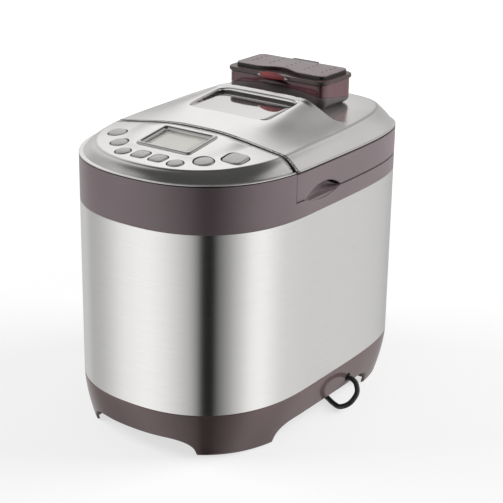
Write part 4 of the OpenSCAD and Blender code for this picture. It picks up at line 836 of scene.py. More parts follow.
def makeSkirt(s):
    # side of the lid: an oval wall with a straight front, notched by the scoop's arch
    centre = windowY
    a = cutAngles(700, centre, skirtY, crossings(centre, skirtY, *scoopEnds(s)))
    z, depth = scoopRows(s, loopRow(a, 0, 0, centre, skirtY))[1:3]

    def row(inset, height):
        return loopRow(a, inset, height, centre, skirtY)
    e = s["edge"]
    ceiling = np.maximum(wall, depth + s["pocket"] + s["under"])
    rows = [row(e, z), row(e * 0.3, z + e * 0.3)]
    reveal, deep = rimZ - s["reveal"], s["revealDeep"]
    lap = reveal - s["darkLap"]
    rows += [row(0, z + e + (lap - e - z) * t) for t in np.linspace(0, 1, 10)]
    # painted shade: a black strip behind the reveal under the lid's rim
    darkStrip("lidReveal", row, s["darkInset"], s["darkThick"], lap, rimZ - s["darkShort"], "lid",
              "lid_skirt")
    rows += [row(*p) for p in ((0, reveal), (deep, reveal), (deep, rimZ), (wall, rimZ),
                               (wall, z + 2 * s["pocket"]), (ceiling, z + s["pocket"]), (ceiling, z))]
    return ringPiece("lidSkirt", rows, bandPlastic, "lid", "lid_skirt", "lid_skirt")


makeSkirt(frameSettings)

padSettings = {"radius": 7, "edge": 0.8, "inset": 4}


def makePads(s):
    # four round feet: a profile of radius and height turned about an upright axis
    low, high = boxOf("rubber_feet")
    full, e = s["radius"], s["edge"]
    profile = ((full, 4), (full, e), (full - 0.3 * e, 0.25), (full - e, 0), (3, 0), (2.6, 0.6))
    a = np.linspace(0, 2 * np.pi, 48, endpoint=False)
    for k, sx in enumerate((-1, 1)):
        for j, (x, y) in enumerate(((high[0] - full - s["inset"], low[1] + full),
                                    (high[0] - full, high[1] - full))):
            rings = [np.column_stack([sx * x + r * np.cos(a), y + r * np.sin(a), np.full(48, z)])
                     for r, z in profile]
            stackPiece("rubberPad%d" % (2 * k + j), rings, feetRubber, "body", "rubber_feet",
                       "rubber_feet" if k + j == 0 else ())


makePads(padSettings)
print("body shells made")


# control panel

def squareOval(a, w, d):
    # radius along each angle of the oval |x / w|^9 + |y / d|^9 = 1
    return (np.abs(np.cos(a) / w) ** 9 + np.abs(np.sin(a) / d) ** 9) ** (-1 / 9)


def domeRows(s, centre, a, seat, lip):
    # rows from the hole's lip over the ledge and the dome, round the crease and down the bevel to the rim,
    # then those of the underside; the straight side runs on past its edge, so that it can be cut off clean
    brim, soft = s["brim"], s["soft"]

    def out(inset):
        return np.minimum(reach(centre, a, inset), toLine(centre, a, s["beyond"]))

    def put(r, z):
        return np.stack([r * np.cos(a), centre + r * np.sin(a), np.broadcast_to(z, r.shape)], -1)

    def over(r, drop=0.0):
        return put(r, topZ(r * np.cos(a), centre + r * np.sin(a)) - drop)
    holeR, ledgeR = squareOval(a, *s["hole"]), squareOval(a, *s["ledge"])
    creaseR, rimR = out(bevelIn), out(0)
    rows = [put(holeR, seat(holeR) - shell)]
    rows += [put(holeR + lip * (1 - np.cos(k)), seat(holeR + lip * (1 - np.cos(k))) - lip * (1 - np.sin(k)))
             for k in np.linspace(0, np.pi / 2, 7)]
    for t in np.linspace(0, 1, 7)[1:]:
        r = holeR + lip + (ledgeR - holeR - lip) * t
        rows.append(put(r, seat(r)))
    inner = creaseR - soft
    for t in np.linspace(0, 1, 40)[1:]:
        r = ledgeR + (inner - ledgeR) * t
        blend = smooth(t / s["blend"])
        rows.append(put(r, seat(r) * (1 - blend) + topZ(r * np.cos(a), centre + r * np.sin(a)) * blend))
    crease, start = over(creaseR), over(inner)
    low = put(out(brim["wide"]), rimZ + brim["high"])
    run = low - crease
    finish = crease + run / np.linalg.norm(run, axis=1)[:, None] * soft
    for t in np.linspace(0, 1, 9)[1:]:
        rows.append(start * (1 - t) ** 2 + crease * 2 * t * (1 - t) + finish * t ** 2)
    for t in np.linspace(0, 1, 13)[1:-1]:                     # the bevel, bowed a little outwards
        p = finish + (low - finish) * t
        p[:, 2] += brim["bow"] * np.sin(np.pi * t)
        rows.append(p)
    rows.append(low)
    for k in np.linspace(0.2, 1, 7):                          # the bright brim that turns out to the rim
        r = out(brim["wide"]) + (out(rimStep) - out(brim["wide"])) * k
        rows.append(put(r, rimZ + brim["high"] + brim["rise"] * np.sin(np.pi * k) - brim["fall"] * k * k))
    rows += [put(rimR, rimZ + rimStep), put(rimR, rimZ)]
    foot = out(bevelIn + wall / 2)
    # the underside starts inside the brim, for a shell that crosses itself can't be cut
    under = [put(out(max(wall, brim["wide"] + brimWall)), rimZ), over(foot, shell)]
    under += [over(ledgeR + (foot - ledgeR) * t, shell) for t in (0.7, 0.4, 0.12)]
    under.append(put(ledgeR - shell, seat(ledgeR - shell) - shell))
    return rows, under, put(holeR, rimZ)


def cutShell(name, s, rows, under, foot, body, slot, replaced):
    # shell cut off at its straight edge, with a black wall below the cut as painted shade in the groove, and
    # a hair line where it has one
    into = 1 if s["beyond"] < s["edge"] else -1
    wide = 2 * plan["halfWidth"]

    def block(first, last):
        first, last = s["edge"] + into * first, s["edge"] + into * last
        return rawBox((-wide, min(first, last), rimZ - 9), (wide, max(first, last), rimZ + 60))

    def solid(drop):
        rings = np.asarray(rows + [foot], float) - [0, 0, drop]
        return rawObject("solidCutter", rings, [gridFaces(*rings.shape[:2])])
    piece = ringPiece(name, rows + under, silver, body, slot, replaced, sharp=30)
    cutters = [block(-40, 0)]
    if s.get("line"):
        slit = block(*s["line"])
        cutHoles(slit, [solid(s["lineDeep"])])
        cutters.append(slit)
    cutHoles(piece, cutters)
    # the wall below the cut is black: painted shade for the deep groove between panel and lid
    rings = np.asarray(rows + [foot], float)
    apron = ringPiece(name + "Wall", rings, blackAbsAndPaintedShade, body, slot, sharp=30)
    cutHoles(apron, [block(0.15, wall)], "INTERSECT")
    return piece


panelSettings = {
    "edge": seamY - 1.5, "beyond": seamY + 10.5, "middle": wideY - 57, "tilt": 8.5,
    "hole": (30.5, 21.5), "ledge": (34.5, 25.5), "blend": 0.5, "soft": 1.8,
    "lip": 1.2,
    "brim": {"wide": 4.0, "high": 0.95, "fall": 0.06, "rise": 0.04, "bow": 1.2},
}
panelTilt = math.radians(panelSettings["tilt"])
panelMiddleZ = float(topZ(np.array(0.0), np.array(panelSettings["middle"])))


def panelPlane(y):
    # height at y of the flat that the keys and the display lie on
    return panelMiddleZ + (y - panelSettings["middle"]) * math.tan(panelTilt)


keys = {
    # name: place from the middle, its radius or its corner radius, and its half side where it is square
    "menu": (-71.5, -61, 9.3, 0), "crust": (-50.5, -83, 8.8, 0), "loaf": (-31.5, -100, 7.6, 0),
    "time_up": (-10.5, -98.5, 4.5, 8), "time_down": (10.5, -98.5, 4.5, 8), "light": (32, -100, 7.8, 0),
    "stop": (52, -82.5, 9.7, 0), "start": (72.5, -60.5, 7.5, 11.4),
}
keySettings = {"proud": 1.3, "thick": 4.5, "dome": 0.9, "edge": 1.4, "gap": 1.05}


def keyLoop(radius, half, grow, count=16):
    # plan of a key, grown outwards: a rounded square where it has a half side, and else a circle
    if half:
        return softLoop(half + grow, half + grow, radius + grow, count, 6)
    a = np.linspace(0, 2 * np.pi, 4 * count, endpoint=False)
    return (radius + grow) * np.stack([np.cos(a), np.sin(a)], -1)


def ontoPanel(loop, x, y, off):
    # a plan loop set at height off along the panel's normal at that key
    z = float(topZ(np.array(float(x)), np.array(float(y))))
    c, s = math.cos(panelTilt), math.sin(panelTilt)
    off = np.broadcast_to(off, loop[:, 0].shape)
    return np.stack([x + loop[:, 0], y + loop[:, 1] * c - off * s, z + loop[:, 1] * s + off * c], -1)


def makePanel(s):
    # domed shell with the display's ledge, cut off at the seam, and a hole for each key
    middle = s["middle"]
    a = cutAngles(560, middle, s["beyond"])
    parts = domeRows(s, middle, a, lambda r: panelPlane(middle + r * np.sin(a)), s["lip"])
    panel = cutShell("controlPanel", s, *parts, "body", "control_panel", "control_panel")
    cutters = []
    for x, y, radius, half in keys.values():
        loop = keyLoop(radius, half, keySettings["gap"])
        rings = np.stack([ontoPanel(loop, x, wideY + y, off) for off in (-9, 9)])
        cutters.append(rawStack("keyCutter", rings))
    cutHoles(panel, cutters)
    return panel


def makeKeys(s):
    # each key's plan shrunk to its middle over a shallow dome, with a rolled shoulder and upright sides
    for name, (x, y, radius, half) in keys.items():
        loops = []
        size = half or radius
        for t in np.linspace(0.02, 1, 10):                    # domed face, from the middle out
            shrink = (size - s["edge"]) * t / size
            loops.append((keyLoop(radius, half, 0) * shrink, s["proud"] - s["dome"] * t * t * 0.55))
        edgeTop = s["proud"] - s["dome"] * 0.55
        for turn in np.linspace(0, np.pi / 2, 6)[1:]:        # rolled shoulder
            loops.append((keyLoop(radius, half, 0) * (size - s["edge"] * (1 - np.sin(turn))) / size,
                          edgeTop - s["edge"] * (1 - np.cos(turn))))
        loops.append((keyLoop(radius, half, 0), s["proud"] - s["thick"]))
        loops.append((keyLoop(radius, half, 0) * 0.3, s["proud"] - s["thick"]))
        rings = np.stack([ontoPanel(loop, x, wideY + y, off) for loop, off in loops])
        stackPiece(name + "Key", rings, keySilver, name + "_button_body", name + "_button",
                   name + "_button", sharp=50)


lcdSettings = {
    "outer": (33, 24), "corner": 3.6, "rise": 1.6, "sink": 2.6, "neck": (29.5, 20.5), "inner": (27.5, 18.5),
    "lensEdge": 1.5,
}


def makeDisplay(s):
    # frame: a profile of rounded rectangles, and the pane a slab with a soft edge inside it
    y = panelSettings["middle"]
    w, d = s["outer"]
    iw, ih = s["inner"]
    c = s["corner"]
    profile = [  # half sizes, corner and height of each loop: a raised frame with a rounded crown
        (w - 2.4, d - 2.4, c - 1, -1.5), (w - 0.4, d - 0.4, c, -0.1),
        (w, d, c, 0.35), (w - 0.25, d - 0.25, c, 0.9),
        (w - 0.8, d - 0.8, c, 1.35), (w - 1.6, d - 1.6, c, s["rise"]), (w - 2.6, d - 2.6, c - 0.4, s["rise"]),
        (w - 3.3, d - 3.3, c - 0.8, 1.3), (iw + 1.2, ih + 1.2, c - 1.2, 0.6),
        (iw + 0.2, ih + 0.2, c - 1.4, -0.4), (iw, ih, c - 1.5, -1.0), (iw, ih, c - 1.5, -s["sink"]),
        (*s["neck"], c - 1, -s["sink"])]
    rings = [ontoPanel(softLoop(a, b, r, 10, 10), 0, y, off) for a, b, r, off in profile]
    ringPiece("lcdFrame", rings, chrome, "body", "lcd_bezel", "lcd_bezel", sharp=50)
    deep = s["sink"]
    face = (iw - 0.2, ih - 0.2, c - 1.6)
    loops = [(*(size * k for size in face), 0.35 - deep) for k in (0.3, 0.7, 1.0)]
    loops += [(iw, ih, c - 1.5, 0.2 - deep), (iw, ih, c - 1.5, -deep - s["lensEdge"])]
    rings = [ontoPanel(softLoop(a, b, r, 10, 10), 0, y, off) for a, b, r, off in loops]
    stackPiece("lcdLens", rings, screen, "body", "lcd_lens", "lcd_lens", sharp=50)


makePanel(panelSettings)
makeKeys(keySettings)
makeDisplay(lcdSettings)
print("panel made")


# lid

lidSettings = {
    "edge": seamY + 1.5, "beyond": seamY - 16.5,
    "hole": (49, 30.5), "ledge": (53, 37.5), "cornerLow": 34, "blend": 0.3, "soft": 2.6,
    "brim": {"wide": 1.8, "high": 0.8, "fall": 0.06, "rise": 0.03, "bow": 0.9},
    "line": (2.3, 3.1), "lineDeep": 0.7,     # the hair line behind the seam: where it runs, and its depth
    "ridge": 1.6, "lip": (0.25, 1.9), "throat": (50.5, 21, 6),
}


def makeCover(s):
    # domed shell with the window's ledge, cut off at the seam and pierced by the dispenser's throat; exact
    # angles keep the ledge's rear corners in place
    corners = [math.atan2(depth, s["ledge"][0]) for depth in (s["ledge"][1], s["cornerLow"])]
    a = cutAngles(760, windowY, s["beyond"], corners + [math.pi - k for k in corners])

    def seat(r):
        # the top itself, and a ridge that rises behind the window
        y = windowY + r * np.sin(a)
        behind = (y - windowY - s["hole"][1]) / (s["ledge"][1] - s["hole"][1])
        return topZ(r * np.cos(a), y) + s["ridge"] * np.clip(behind, 0, 1)
    lip = s["lip"][0] + (s["lip"][1] - s["lip"][0]) * smooth((np.sin(a) + 0.55) / 0.2)
    cover = cutShell("lidCover", s, *domeRows(s, windowY, a, seat, lip), "lid", "lid_cover", "lid_cover")
    w, d, r = s["throat"]
    loop = softLoop(w, d, r, 10, 8)
    rings = np.stack([lifted(loop, boxY, z) for z in (rimZ - 2, rimZ + 60)])
    cutHoles(cover, [rawStack("throatCutter", rings)])
    return cover


makeCover(lidSettings)

windowSettings = {"hole": (49, 30.5), "gap": 0.3, "flush": 0.35, "sink": 4.2, "glass": 3, "liner": 2.0}


def makeWindow(s):
    # glass that lies flush in front and deep under the ridge behind, and a dark liner round its recess
    a = evenAngles(240, windowY, lambda v: squareOval(v, *s["hole"]))
    hole = squareOval(a, *s["hole"])

    def ring(r, off, glassy=True):
        x, y = r * np.cos(a), windowY + r * np.sin(a)
        sink = s["flush"] + s["sink"] * np.clip((y - windowY) / (2 * s["hole"][1]) + 0.5, 0, 1)
        return np.stack([x, y, topZ(x, y) - (sink if glassy else shell) + off], -1)
    edge = hole - s["gap"]
    loops = [(0.02, 0), (0.3, 0), (0.6, 0), (0.85, 0), (0.993, 0), (1, -0.4), (1, 0.4 - s["glass"]),
             (0.99, -s["glass"]), (0.6, -s["glass"]), (0.3, -s["glass"])]
    stackPiece("windowGlass", [ring(edge * k, off) for k, off in loops], glass, "lid", "window_glass",
               "window_glass", sharp=50)
    lowZ = float(boxOf("window_bezel")[0][2])
    inner, outer = ring(hole + s["gap"], -0.25, False), ring(hole + s["liner"], -0.25, False)
    flat = [np.column_stack([p[:, :2], np.full(len(a), lowZ)]) for p in (outer, inner)]
    ringPiece("windowLiner", [inner, outer] + flat, charcoal, "lid", "window_bezel", "window_bezel")


makeWindow(windowSettings)
print("lid made")


# dispenser

boxSettings = {
    "half": (60, 29), "corner": 9, "wall": 1.8, "top": 48, "floor": -5,
    "collarFront": 41, "collarArch": 6, "collarFall": 8, "collarWall": 2, "taper": 6, "sweep": 2.2,
    "throat": (50.5, 21), "gap": 0.3, "hinge": 16, "ear": 4, "lug": 3, "axis": (boxY + 32, rimZ + 50),
    "flap": (43.5, boxY + 16, rimZ - 7.7),
}


def collarZ(s, x, y):
    # top edge of the collar: arched across and lower towards the back
    w, d = s["half"]
    return (rimZ + s["collarFront"] - s["collarArch"] * (x / w) ** 2 - s["collarFall"] * (y + d) / (2 * d))


def onCollar(s, loop, off):
    # a plan loop laid on the collar's edge, off above it
    return lifted(loop, boxY, collarZ(s, loop[:, 0], loop[:, 1]) + off)


def onTop(loop, off):
    # a plan loop laid on the lid's top, off above it
    return lifted(loop, boxY, topZ(loop[:, 0], boxY + loop[:, 1]) + off)


def makeCollar(s):
    # funnel round the box's foot, from the arched edge down to the lid and in to the throat
    w, d = s["half"]
    c, k = s["corner"], s["collarWall"]
    foot = softLoop(w - s["taper"], d - s["taper"] + 1, c - 2, 10, 12)
    head = softLoop(w, d, c, 10, 12)
    rows = [onCollar(s, softLoop(w - k, d - k, c - k, 10, 12), -0.25),
            onCollar(s, softLoop(w - k + 0.5, d - k + 0.5, c - k + 0.5, 10, 12), 0),
            onCollar(s, softLoop(w - 0.5, d - 0.5, c - 0.5, 10, 12), 0), onCollar(s, head, -0.5)]
    upper, lower = rows[-1], onTop(foot, 0.15)
    for t in np.linspace(0, 1, 13)[1:]:       # the side: nearly upright above, then swept in to its foot
        p = upper + (lower - upper) * t
        p[:, :2] = upper[:, :2] + (lower[:, :2] - upper[:, :2]) * t ** s["sweep"]
        rows.append(p)
    rows.append(onTop(softLoop(w - s["taper"] - 1, d - s["taper"], c - 3, 10, 12), -0.6))
    tw, td = s["throat"]
    rows.append(onTop(softLoop(tw, td, 6, 10, 12), -0.6))
    inner = onTop(softLoop(tw, td, 6, 10, 12), 0.6)
    rows.append(inner)
    start = rows[0]
    for t in (0.35, 0.7):
        rows.append(inner + (start - inner) * t)
    return ringPiece("dispenserCollar", rows, collarPlastic, "lid", "dispenser_collar", "dispenser_collar")


def makeBox(s):
    # open box over the collar, which steps in to a neck that passes through the throat
    w, d = s["half"]
    c, t, g, k = s["corner"], s["wall"], s["gap"], s["collarWall"]
    high, low = rimZ + s["top"], rimZ + s["floor"]
    nw, nd = s["throat"][0] - 1, s["throat"][1] - 1

    def flat(a, b, r, z):
        return lifted(softLoop(a, b, r, 10, 12), boxY, z)
    cuff = k + 2 * g
    rows = [flat(w - t, d - t, c - t, high - 0.3), flat(w - t + 0.3, d - t + 0.3, c - t + 0.3, high),
            flat(w - 0.5, d - 0.5, c - 0.5, high), flat(w, d, c, high - 0.5)]
    seat = onCollar(s, softLoop(w, d, c, 10, 12), g)
    rows += [rows[-1] + (seat - rows[-1]) * v for v in np.linspace(0.2, 1, 5)]
    rows += [onCollar(s, softLoop(w - cuff, d - cuff, c - k, 10, 12), g),
             onTop(softLoop(nw, nd, c - 4, 10, 12), 1), flat(nw, nd, c - 4, low),
             flat(43.5, 14, c - 4, low), flat(43.5, 14, c - 4, low + t), flat(nw - t, nd - t, c - 5, low + t),
             onTop(softLoop(nw - t, nd - t, c - 5, 10, 12), 2),
             onCollar(s, softLoop(w - cuff - t, d - cuff - t, c - k - 1, 10, 12), 2)]
    ringPiece("dispenserBox", rows, wineResin, "dispenser", "dispenser_box", "dispenser_box")
    for side in (-1, 1):                          # ears of the cover's hinge and of the flap's
        x = side * (s["hinge"] + s["gap"] + s["ear"] / 2)
        turn = np.radians(np.linspace(-90, 180, 19))
        y, z = s["axis"]
        loop = [(y - s["lug"] - 0.5, z - s["lug"])]
        loop += [(y + s["lug"] * np.cos(v), z + s["lug"] * np.sin(v)) for v in turn]
        ends = [np.array([(x + k * s["ear"] / 2, *p) for p in loop]) for k in (-1, 1)]
        stackPiece("coverEar", ends, wineResin, "dispenser", "dispenser_box", sharp=50)
        x = side * (s["flap"][0] + s["gap"] + s["ear"] / 2)
        ends = [lifted(softLoop(2, 2, 0.5, 4, 2), s["flap"][1], v) + [x, 0, 0]
                for v in (s["flap"][2] - 2, low + 0.5)]
        stackPiece("flapEar", ends, wineResin, "dispenser", "dispenser_box", sharp=50)


coverSettings = {
    "half": (62, 31), "corner": 11, "thick": 4, "plateau": (56, 25), "plateauCorner": 7, "rise": 4,
    "plateauBack": 2.6, "plateauEdge": 1.3, "scallop": 28, "scallopDeep": 9.5, "gap": 0.3,
    "vent": 1.25, "columns": 5, "rows": 4, "step": 22, "rowStep": 8, "ventBack": 6.5,
    "bevel": 1.0, "hinge": 16, "barrel": 3.2,
}


def makeLidOfBox(s):
    # flat plate with a raised, vented middle, and the block and barrel of its hinge
    low = rimZ + boxSettings["top"] + s["gap"]
    w, d = s["half"]
    c, b = s["corner"], s["bevel"]

    def flat(a, e, r, z):
        return lifted(softLoop(a, e, r, 12, 24), boxY, z)

    def plateauLoop(grow, z):
        # rounded rectangle whose front side is scalloped for the latch
        loop = softLoop(s["plateau"][0] + grow, s["plateau"][1] + grow, s["plateauCorner"] + grow, 12, 60)
        u = np.clip(np.abs(loop[:, 0]) / (s["scallop"] - grow), 0, 1)
        dip = s["scallopDeep"] * (1 - smooth(u))
        front = np.maximum(loop[:, 1], -s["plateau"][1] - grow + dip)
        loop[:, 1] = np.where(loop[:, 1] < 0, front, loop[:, 1])
        return lifted(loop, boxY + s["plateauBack"], z)
    mid, high = low + s["thick"], low + s["thick"] + s["rise"]
    plate = [flat(w - 3, d - 3, c - 2, low), flat(w - 0.5, d - 0.5, c, low), flat(w, d, c, low + 0.5),
             flat(w, d, c, mid - b)]
    plate += [flat(w - b * (1 - np.cos(k)), d - b * (1 - np.cos(k)), c, mid - b * (1 - np.sin(k)))
              for k in np.linspace(0.3, np.pi / 2, 5)]
    plate += [flat(w - 4, d - 4, c - 3, mid)]
    rimPlate = stackPiece("dispenserCoverPlate", plate[::-1], coverPlastic, "dispenser_lid",
                          "dispenser_cover", "dispenser_cover", sharp=40)
    box, ear = boxSettings, boxSettings["ear"]
    near = [min(k * box["hinge"], k * (box["hinge"] + ear + 2 * s["gap"])) for k in (-1, 1)]
    cutHoles(rimPlate, [rawBox((x, box["axis"][0] - box["lug"] - s["gap"], low - 1),
                               (x + ear + 2 * s["gap"], boxY + d + 9, mid + 1)) for x in near])
    turn = np.linspace(0, 2 * np.pi, 40, endpoint=False)
    y, z = box["axis"]
    ends = [np.stack([np.full(40, x), y + s["barrel"] * np.cos(turn), z + s["barrel"] * np.sin(turn)], -1)
            for x in (-s["hinge"], s["hinge"])]
    stackPiece("coverBarrel", ends, blackAbsAndPaintedShade, "dispenser_lid", "dispenser_cover", sharp=50)
    block = [lifted(softLoop(s["hinge"] - v, 3.4 - v, 1.2, 6, 6), boxY + d - 2.2, z)
             for v, z in ((0, low + 1), (0, high - 0.6), (0.2, high - 0.2), (0.7, high - 0.05))]
    stackPiece("coverHingeBlock", block, blackAbsAndPaintedShade, "dispenser_lid", "dispenser_cover", sharp=40)
    edge = s["plateauEdge"]
    side = [plateauLoop(0.0, mid - 0.3), plateauLoop(-0.1, high - edge)]
    side += [plateauLoop(-0.1 - 0.9 * (1 - np.cos(k)), high - edge * (1 - np.sin(k)))
             for k in np.linspace(0.3, np.pi / 2, 5)]
    raised = stackPiece("dispenserCoverTop", side[::-1], coverTopPlastic, "dispenser_lid", "dispenser_cover",
                        sharp=40)
    raised.data.materials.append(blackAbsAndPaintedShade)
    for face in raised.data.polygons:
        face.material_index = int(abs(face.normal.z) < 0.5)
    loop = keyLoop(s["vent"], 0, 0, 4)

    def ventRings(i, j, heights):
        # rings of the vent in column i and row j at the given heights
        x = (i - (s["columns"] - 1) / 2) * s["step"]
        y = (j - (s["rows"] - 1) / 2) * s["rowStep"] + s["ventBack"]
        return np.stack([lifted(loop + [x, y], boxY, z) for z in heights])
    places = [(i, j) for i in range(s["columns"]) for j in range(s["rows"])]
    cutHoles(raised, [rawStack("ventCutter", ventRings(*place, (high - 2.5, high + 2))) for place in places])
    plugs = [lidFaces(ventRings(*place, (high - 2.6, high - 0.3)), 2, len(loop)) for place in places]
    points = [plug[0] for plug in plugs]       # painted shade in the vents: black plugs just under the top, all in one piece
    groups = [np.concatenate([group + k * len(points[0]) for k in range(len(plugs))])
              for group in plugs[0][1]]
    makePiece("ventPaintedShade", np.concatenate(points), groups, blackAbsAndPaintedShade, "dispenser_lid", "dispenser_cover")


latchSettings = {"half": 19, "out": 4.5, "travel": 1.8, "gap": 0.3, "down": 3.5, "thick": 4, "end": 3.5,
                 "rise": 6.9, "tall": 7.4, "droop": 1.5}


def makeLatch(s):
    # crescent thumb catch: a red lens that stands before the cover's edge, on a dark foot; its two ends are
    # pale grey, painted highlights
    front = boxY - boxSettings["half"][1] - s["travel"] - s["gap"]
    z = rimZ + boxSettings["top"] - s["down"]
    a = np.linspace(0, 2 * np.pi, 24, endpoint=False)
    section = np.stack([np.cos(a), np.sin(a)], -1)

    def lens(x0, x1, name, material, back, middle, tall, power, half=s["half"]):
        # slices across x: as deep as the arc in plan, as tall as a second arc in front
        x = np.linspace(x0, x1, 41)
        out = np.maximum(chordArc(half, s["out"], x), 0.15)
        deep = np.maximum(out - (front - back), 0.1)[:, None] / 2
        shape = np.sign(section) * np.abs(section) ** power
        high = tall / 2 * np.clip(out / s["out"], 0.12, 1)[:, None] ** 0.8
        lift = (out[:, None] / s["out"] - 1) * s["droop"]
        rings = np.stack([np.broadcast_to(x[:, None], (41, 24)), back - deep + shape[None, :, 0] * deep,
                          middle + lift + shape[None, :, 1] * high], -1)
        return stackPiece(name, rings, material, "latch", "dispenser_latch", sharp=50)
    foot = lens(-s["half"], s["half"], "latchFoot", coverPlastic, front, z, s["thick"], 0.5)
    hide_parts("dispenser_latch")
    rest = (front - s["travel"], z + s["rise"], s["tall"], 0.8)
    lens(-s["half"] + s["end"], s["half"] - s["end"], "latchThumb", latchRed, *rest)
    # the two pale grey ends are painted highlights on the red lens
    lens(-s["half"], -s["half"] + s["end"], "latchHighlightLeft", latchPaintedHighlight, *rest)
    lens(s["half"] - s["end"], s["half"], "latchHighlightRight", latchPaintedHighlight, *rest)


collarPlastic = darkAbs("charcoal ABS, collar", "#655d5e", "#6b6364", 0.2, 0.28)
coverPlastic = darkAbs("brown ABS, cover rim", "#4a3a3a", "#524242", 0.14, 0.2)
coverTopPlastic = darkAbs("mauve grey ABS, cover top", "#85787a", "#8c7f81", 0.26, 0.34)
latchRed = darkAbs("red ABS, latch", "#93383c", "#9b4044", 0.14, 0.2)
# pale grey painted highlight for the catch's two ends
latchPaintedHighlight = darkAbs("painted highlight, latch ends", "#b9b4b3", "#c1bcbb", 0.2, 0.3)
makeCollar(boxSettings)
makeBox(boxSettings)
makeLidOfBox(coverSettings)
makeLatch(latchSettings)
print("dispenser made")


# works inside

zincPlate = metalPlate("zinc-plated steel", "#b7b9bb", "#a9abad", 0.28, 0.42)
galvanised = metalPlate("aluminised oven sheet", "#a9a8a5", "#b5b4b1", 0.3, 0.45, 12)
castAluminium = metalPlate("cast aluminium", "#a8a8aa", "#9b9b9d", 0.4, 0.55, 3)
elementSheath = metalPlate("oxidised heater sheath", "#5d5550", "#6d625a", 0.45, 0.6, 2)
rolledLiner = metalPlate("rolled aluminium liner", "#9d9b99", "#a8a6a4", 0.25, 0.38, 2, (1, 0.06, 1))
copperCoil = metalPlate("enamelled copper winding", "#a8622f", "#b87138", 0.3, 0.4, 1.2, (1, 1, 6))
nonStick = darkAbs("PTFE non-stick coating", "#454447", "#4d4c4f", 0.35, 0.5)
circuitBoard = darkAbs("circuit board, solder resist", "#2f5f3c", "#376a45", 0.3, 0.42)
beltRubber = rubberSkin("neoprene belt", "#232325", "#2b2b2d", 0.55, 0.7)
sealSilicone = rubberSkin("silicone seal", "#bdb8b3", "#c7c2bd", 0.45, 0.58)
tieVinyl = rubberSkin("PVC tie, white", "#dcdbd6", "#e4e3de", 0.35, 0.5)
paintedMotor = darkAbs("painted motor shell", "#83848a", "#8b8c92", 0.35, 0.5)

finishes = {
    "tie_rods": zincPlate, "hinge_pins": zincPlate, "control_board": circuitBoard, "tact_switches": charcoal,
    "lid_liner": rolledLiner, "lid_seal": sealSilicone, "dispenser_pins": zincPlate,
    "dispenser_flap": charcoal, "flap_solenoid": copperCoil, "solenoid_plunger": zincPlate,
    "oven_chamber": galvanised, "heating_element": elementSheath, "element_clips": zincPlate,
    "temperature_sensor": zincPlate, "pan_socket": castAluminium, "drive_bearing": castAluminium,
    "drive_shaft": zincPlate, "large_pulley": charcoal, "drive_coupling": castAluminium,
    "drive_belt": beltRubber, "motor_housing": paintedMotor, "motor_rotor": copperCoil,
    "motor_pulley": charcoal, "motor_fan": charcoal, "motor_bracket": zincPlate, "power_board": circuitBoard,
    "bread_pan": nonStick, "pan_handle": zincPlate, "pan_shaft": zincPlate, "kneading_paddle": nonStick,
    "cord_tie": tieVinyl,
}
for node, material in finishes.items():
    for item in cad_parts[node].material_slots:
        item.material = material
print("works finished")


# stage

stageSettings = {
    # the floor's glow near and far, the distances in metres at which it has them, and the world's light
    "floor": "#9c9c9c", "lift": (0.68, 1.0), "near": (0.35, 1.3), "world": 0.11, "half": 12,
    "lamps": [  # place, target and size in metres, then power in watts
        ((-1.5, -0.9, 1.3), (0, 0, 0.2), (1.3, 1.3), 32),
        ((1.4, 1.4, 1.2), (0, 0, 0.2), (1.3, 1.3), 52),
    ],
    # what metal sees: shade against turn from the front in degrees, below the horizon and above it
    "below": [(-180, 0.5), (-150, 0.48), (-120, 0.6), (-100, 0.6), (-86, 0.45), (-69, 0.5), (-57, 0.62),
              (-48, 0.77), (-38, 0.97), (-25, 0.98), (-8, 0.84), (9, 0.62), (20, 0.46), (28, 0.26),
              (34, 0.01), (47, 0.0), (52, 0.13), (65, 0.35), (83, 0.73), (91, 0.92), (103, 1.0),
              (117, 0.82), (126, 0.71), (150, 0.66), (171, 0.57)],
    "above": [(-180, 0.42), (-165, 0.34), (-154, 0.4), (-147, 1.0), (-136, 1.0), (-129, 0.85), (-120, 0.66),
              (-105, 0.46), (-90, 0.42), (-60, 0.52), (-45, 0.46), (0, 0.28), (60, 0.22), (110, 0.35),
              (135, 0.5), (150, 0.62), (165, 0.62), (173, 0.5)],
    "horizon": (0.06, 0.42), "overhead": (0.68, 0.82), "roof": 0.045,
}


def mixed(tree, share, first, second):
    # blend of two colours, each a socket or a plain grey
    node = addNode(tree, "ShaderNodeMix", {"data_type": "RGBA"}, i0=share)
    for place, value in ((6, first), (7, second)):
        if isinstance(value, float):
            node.inputs[place].default_value = (value, value, value, 1)
        else:
            tree.links.new(value, node.inputs[place])
    return node.outputs[2]


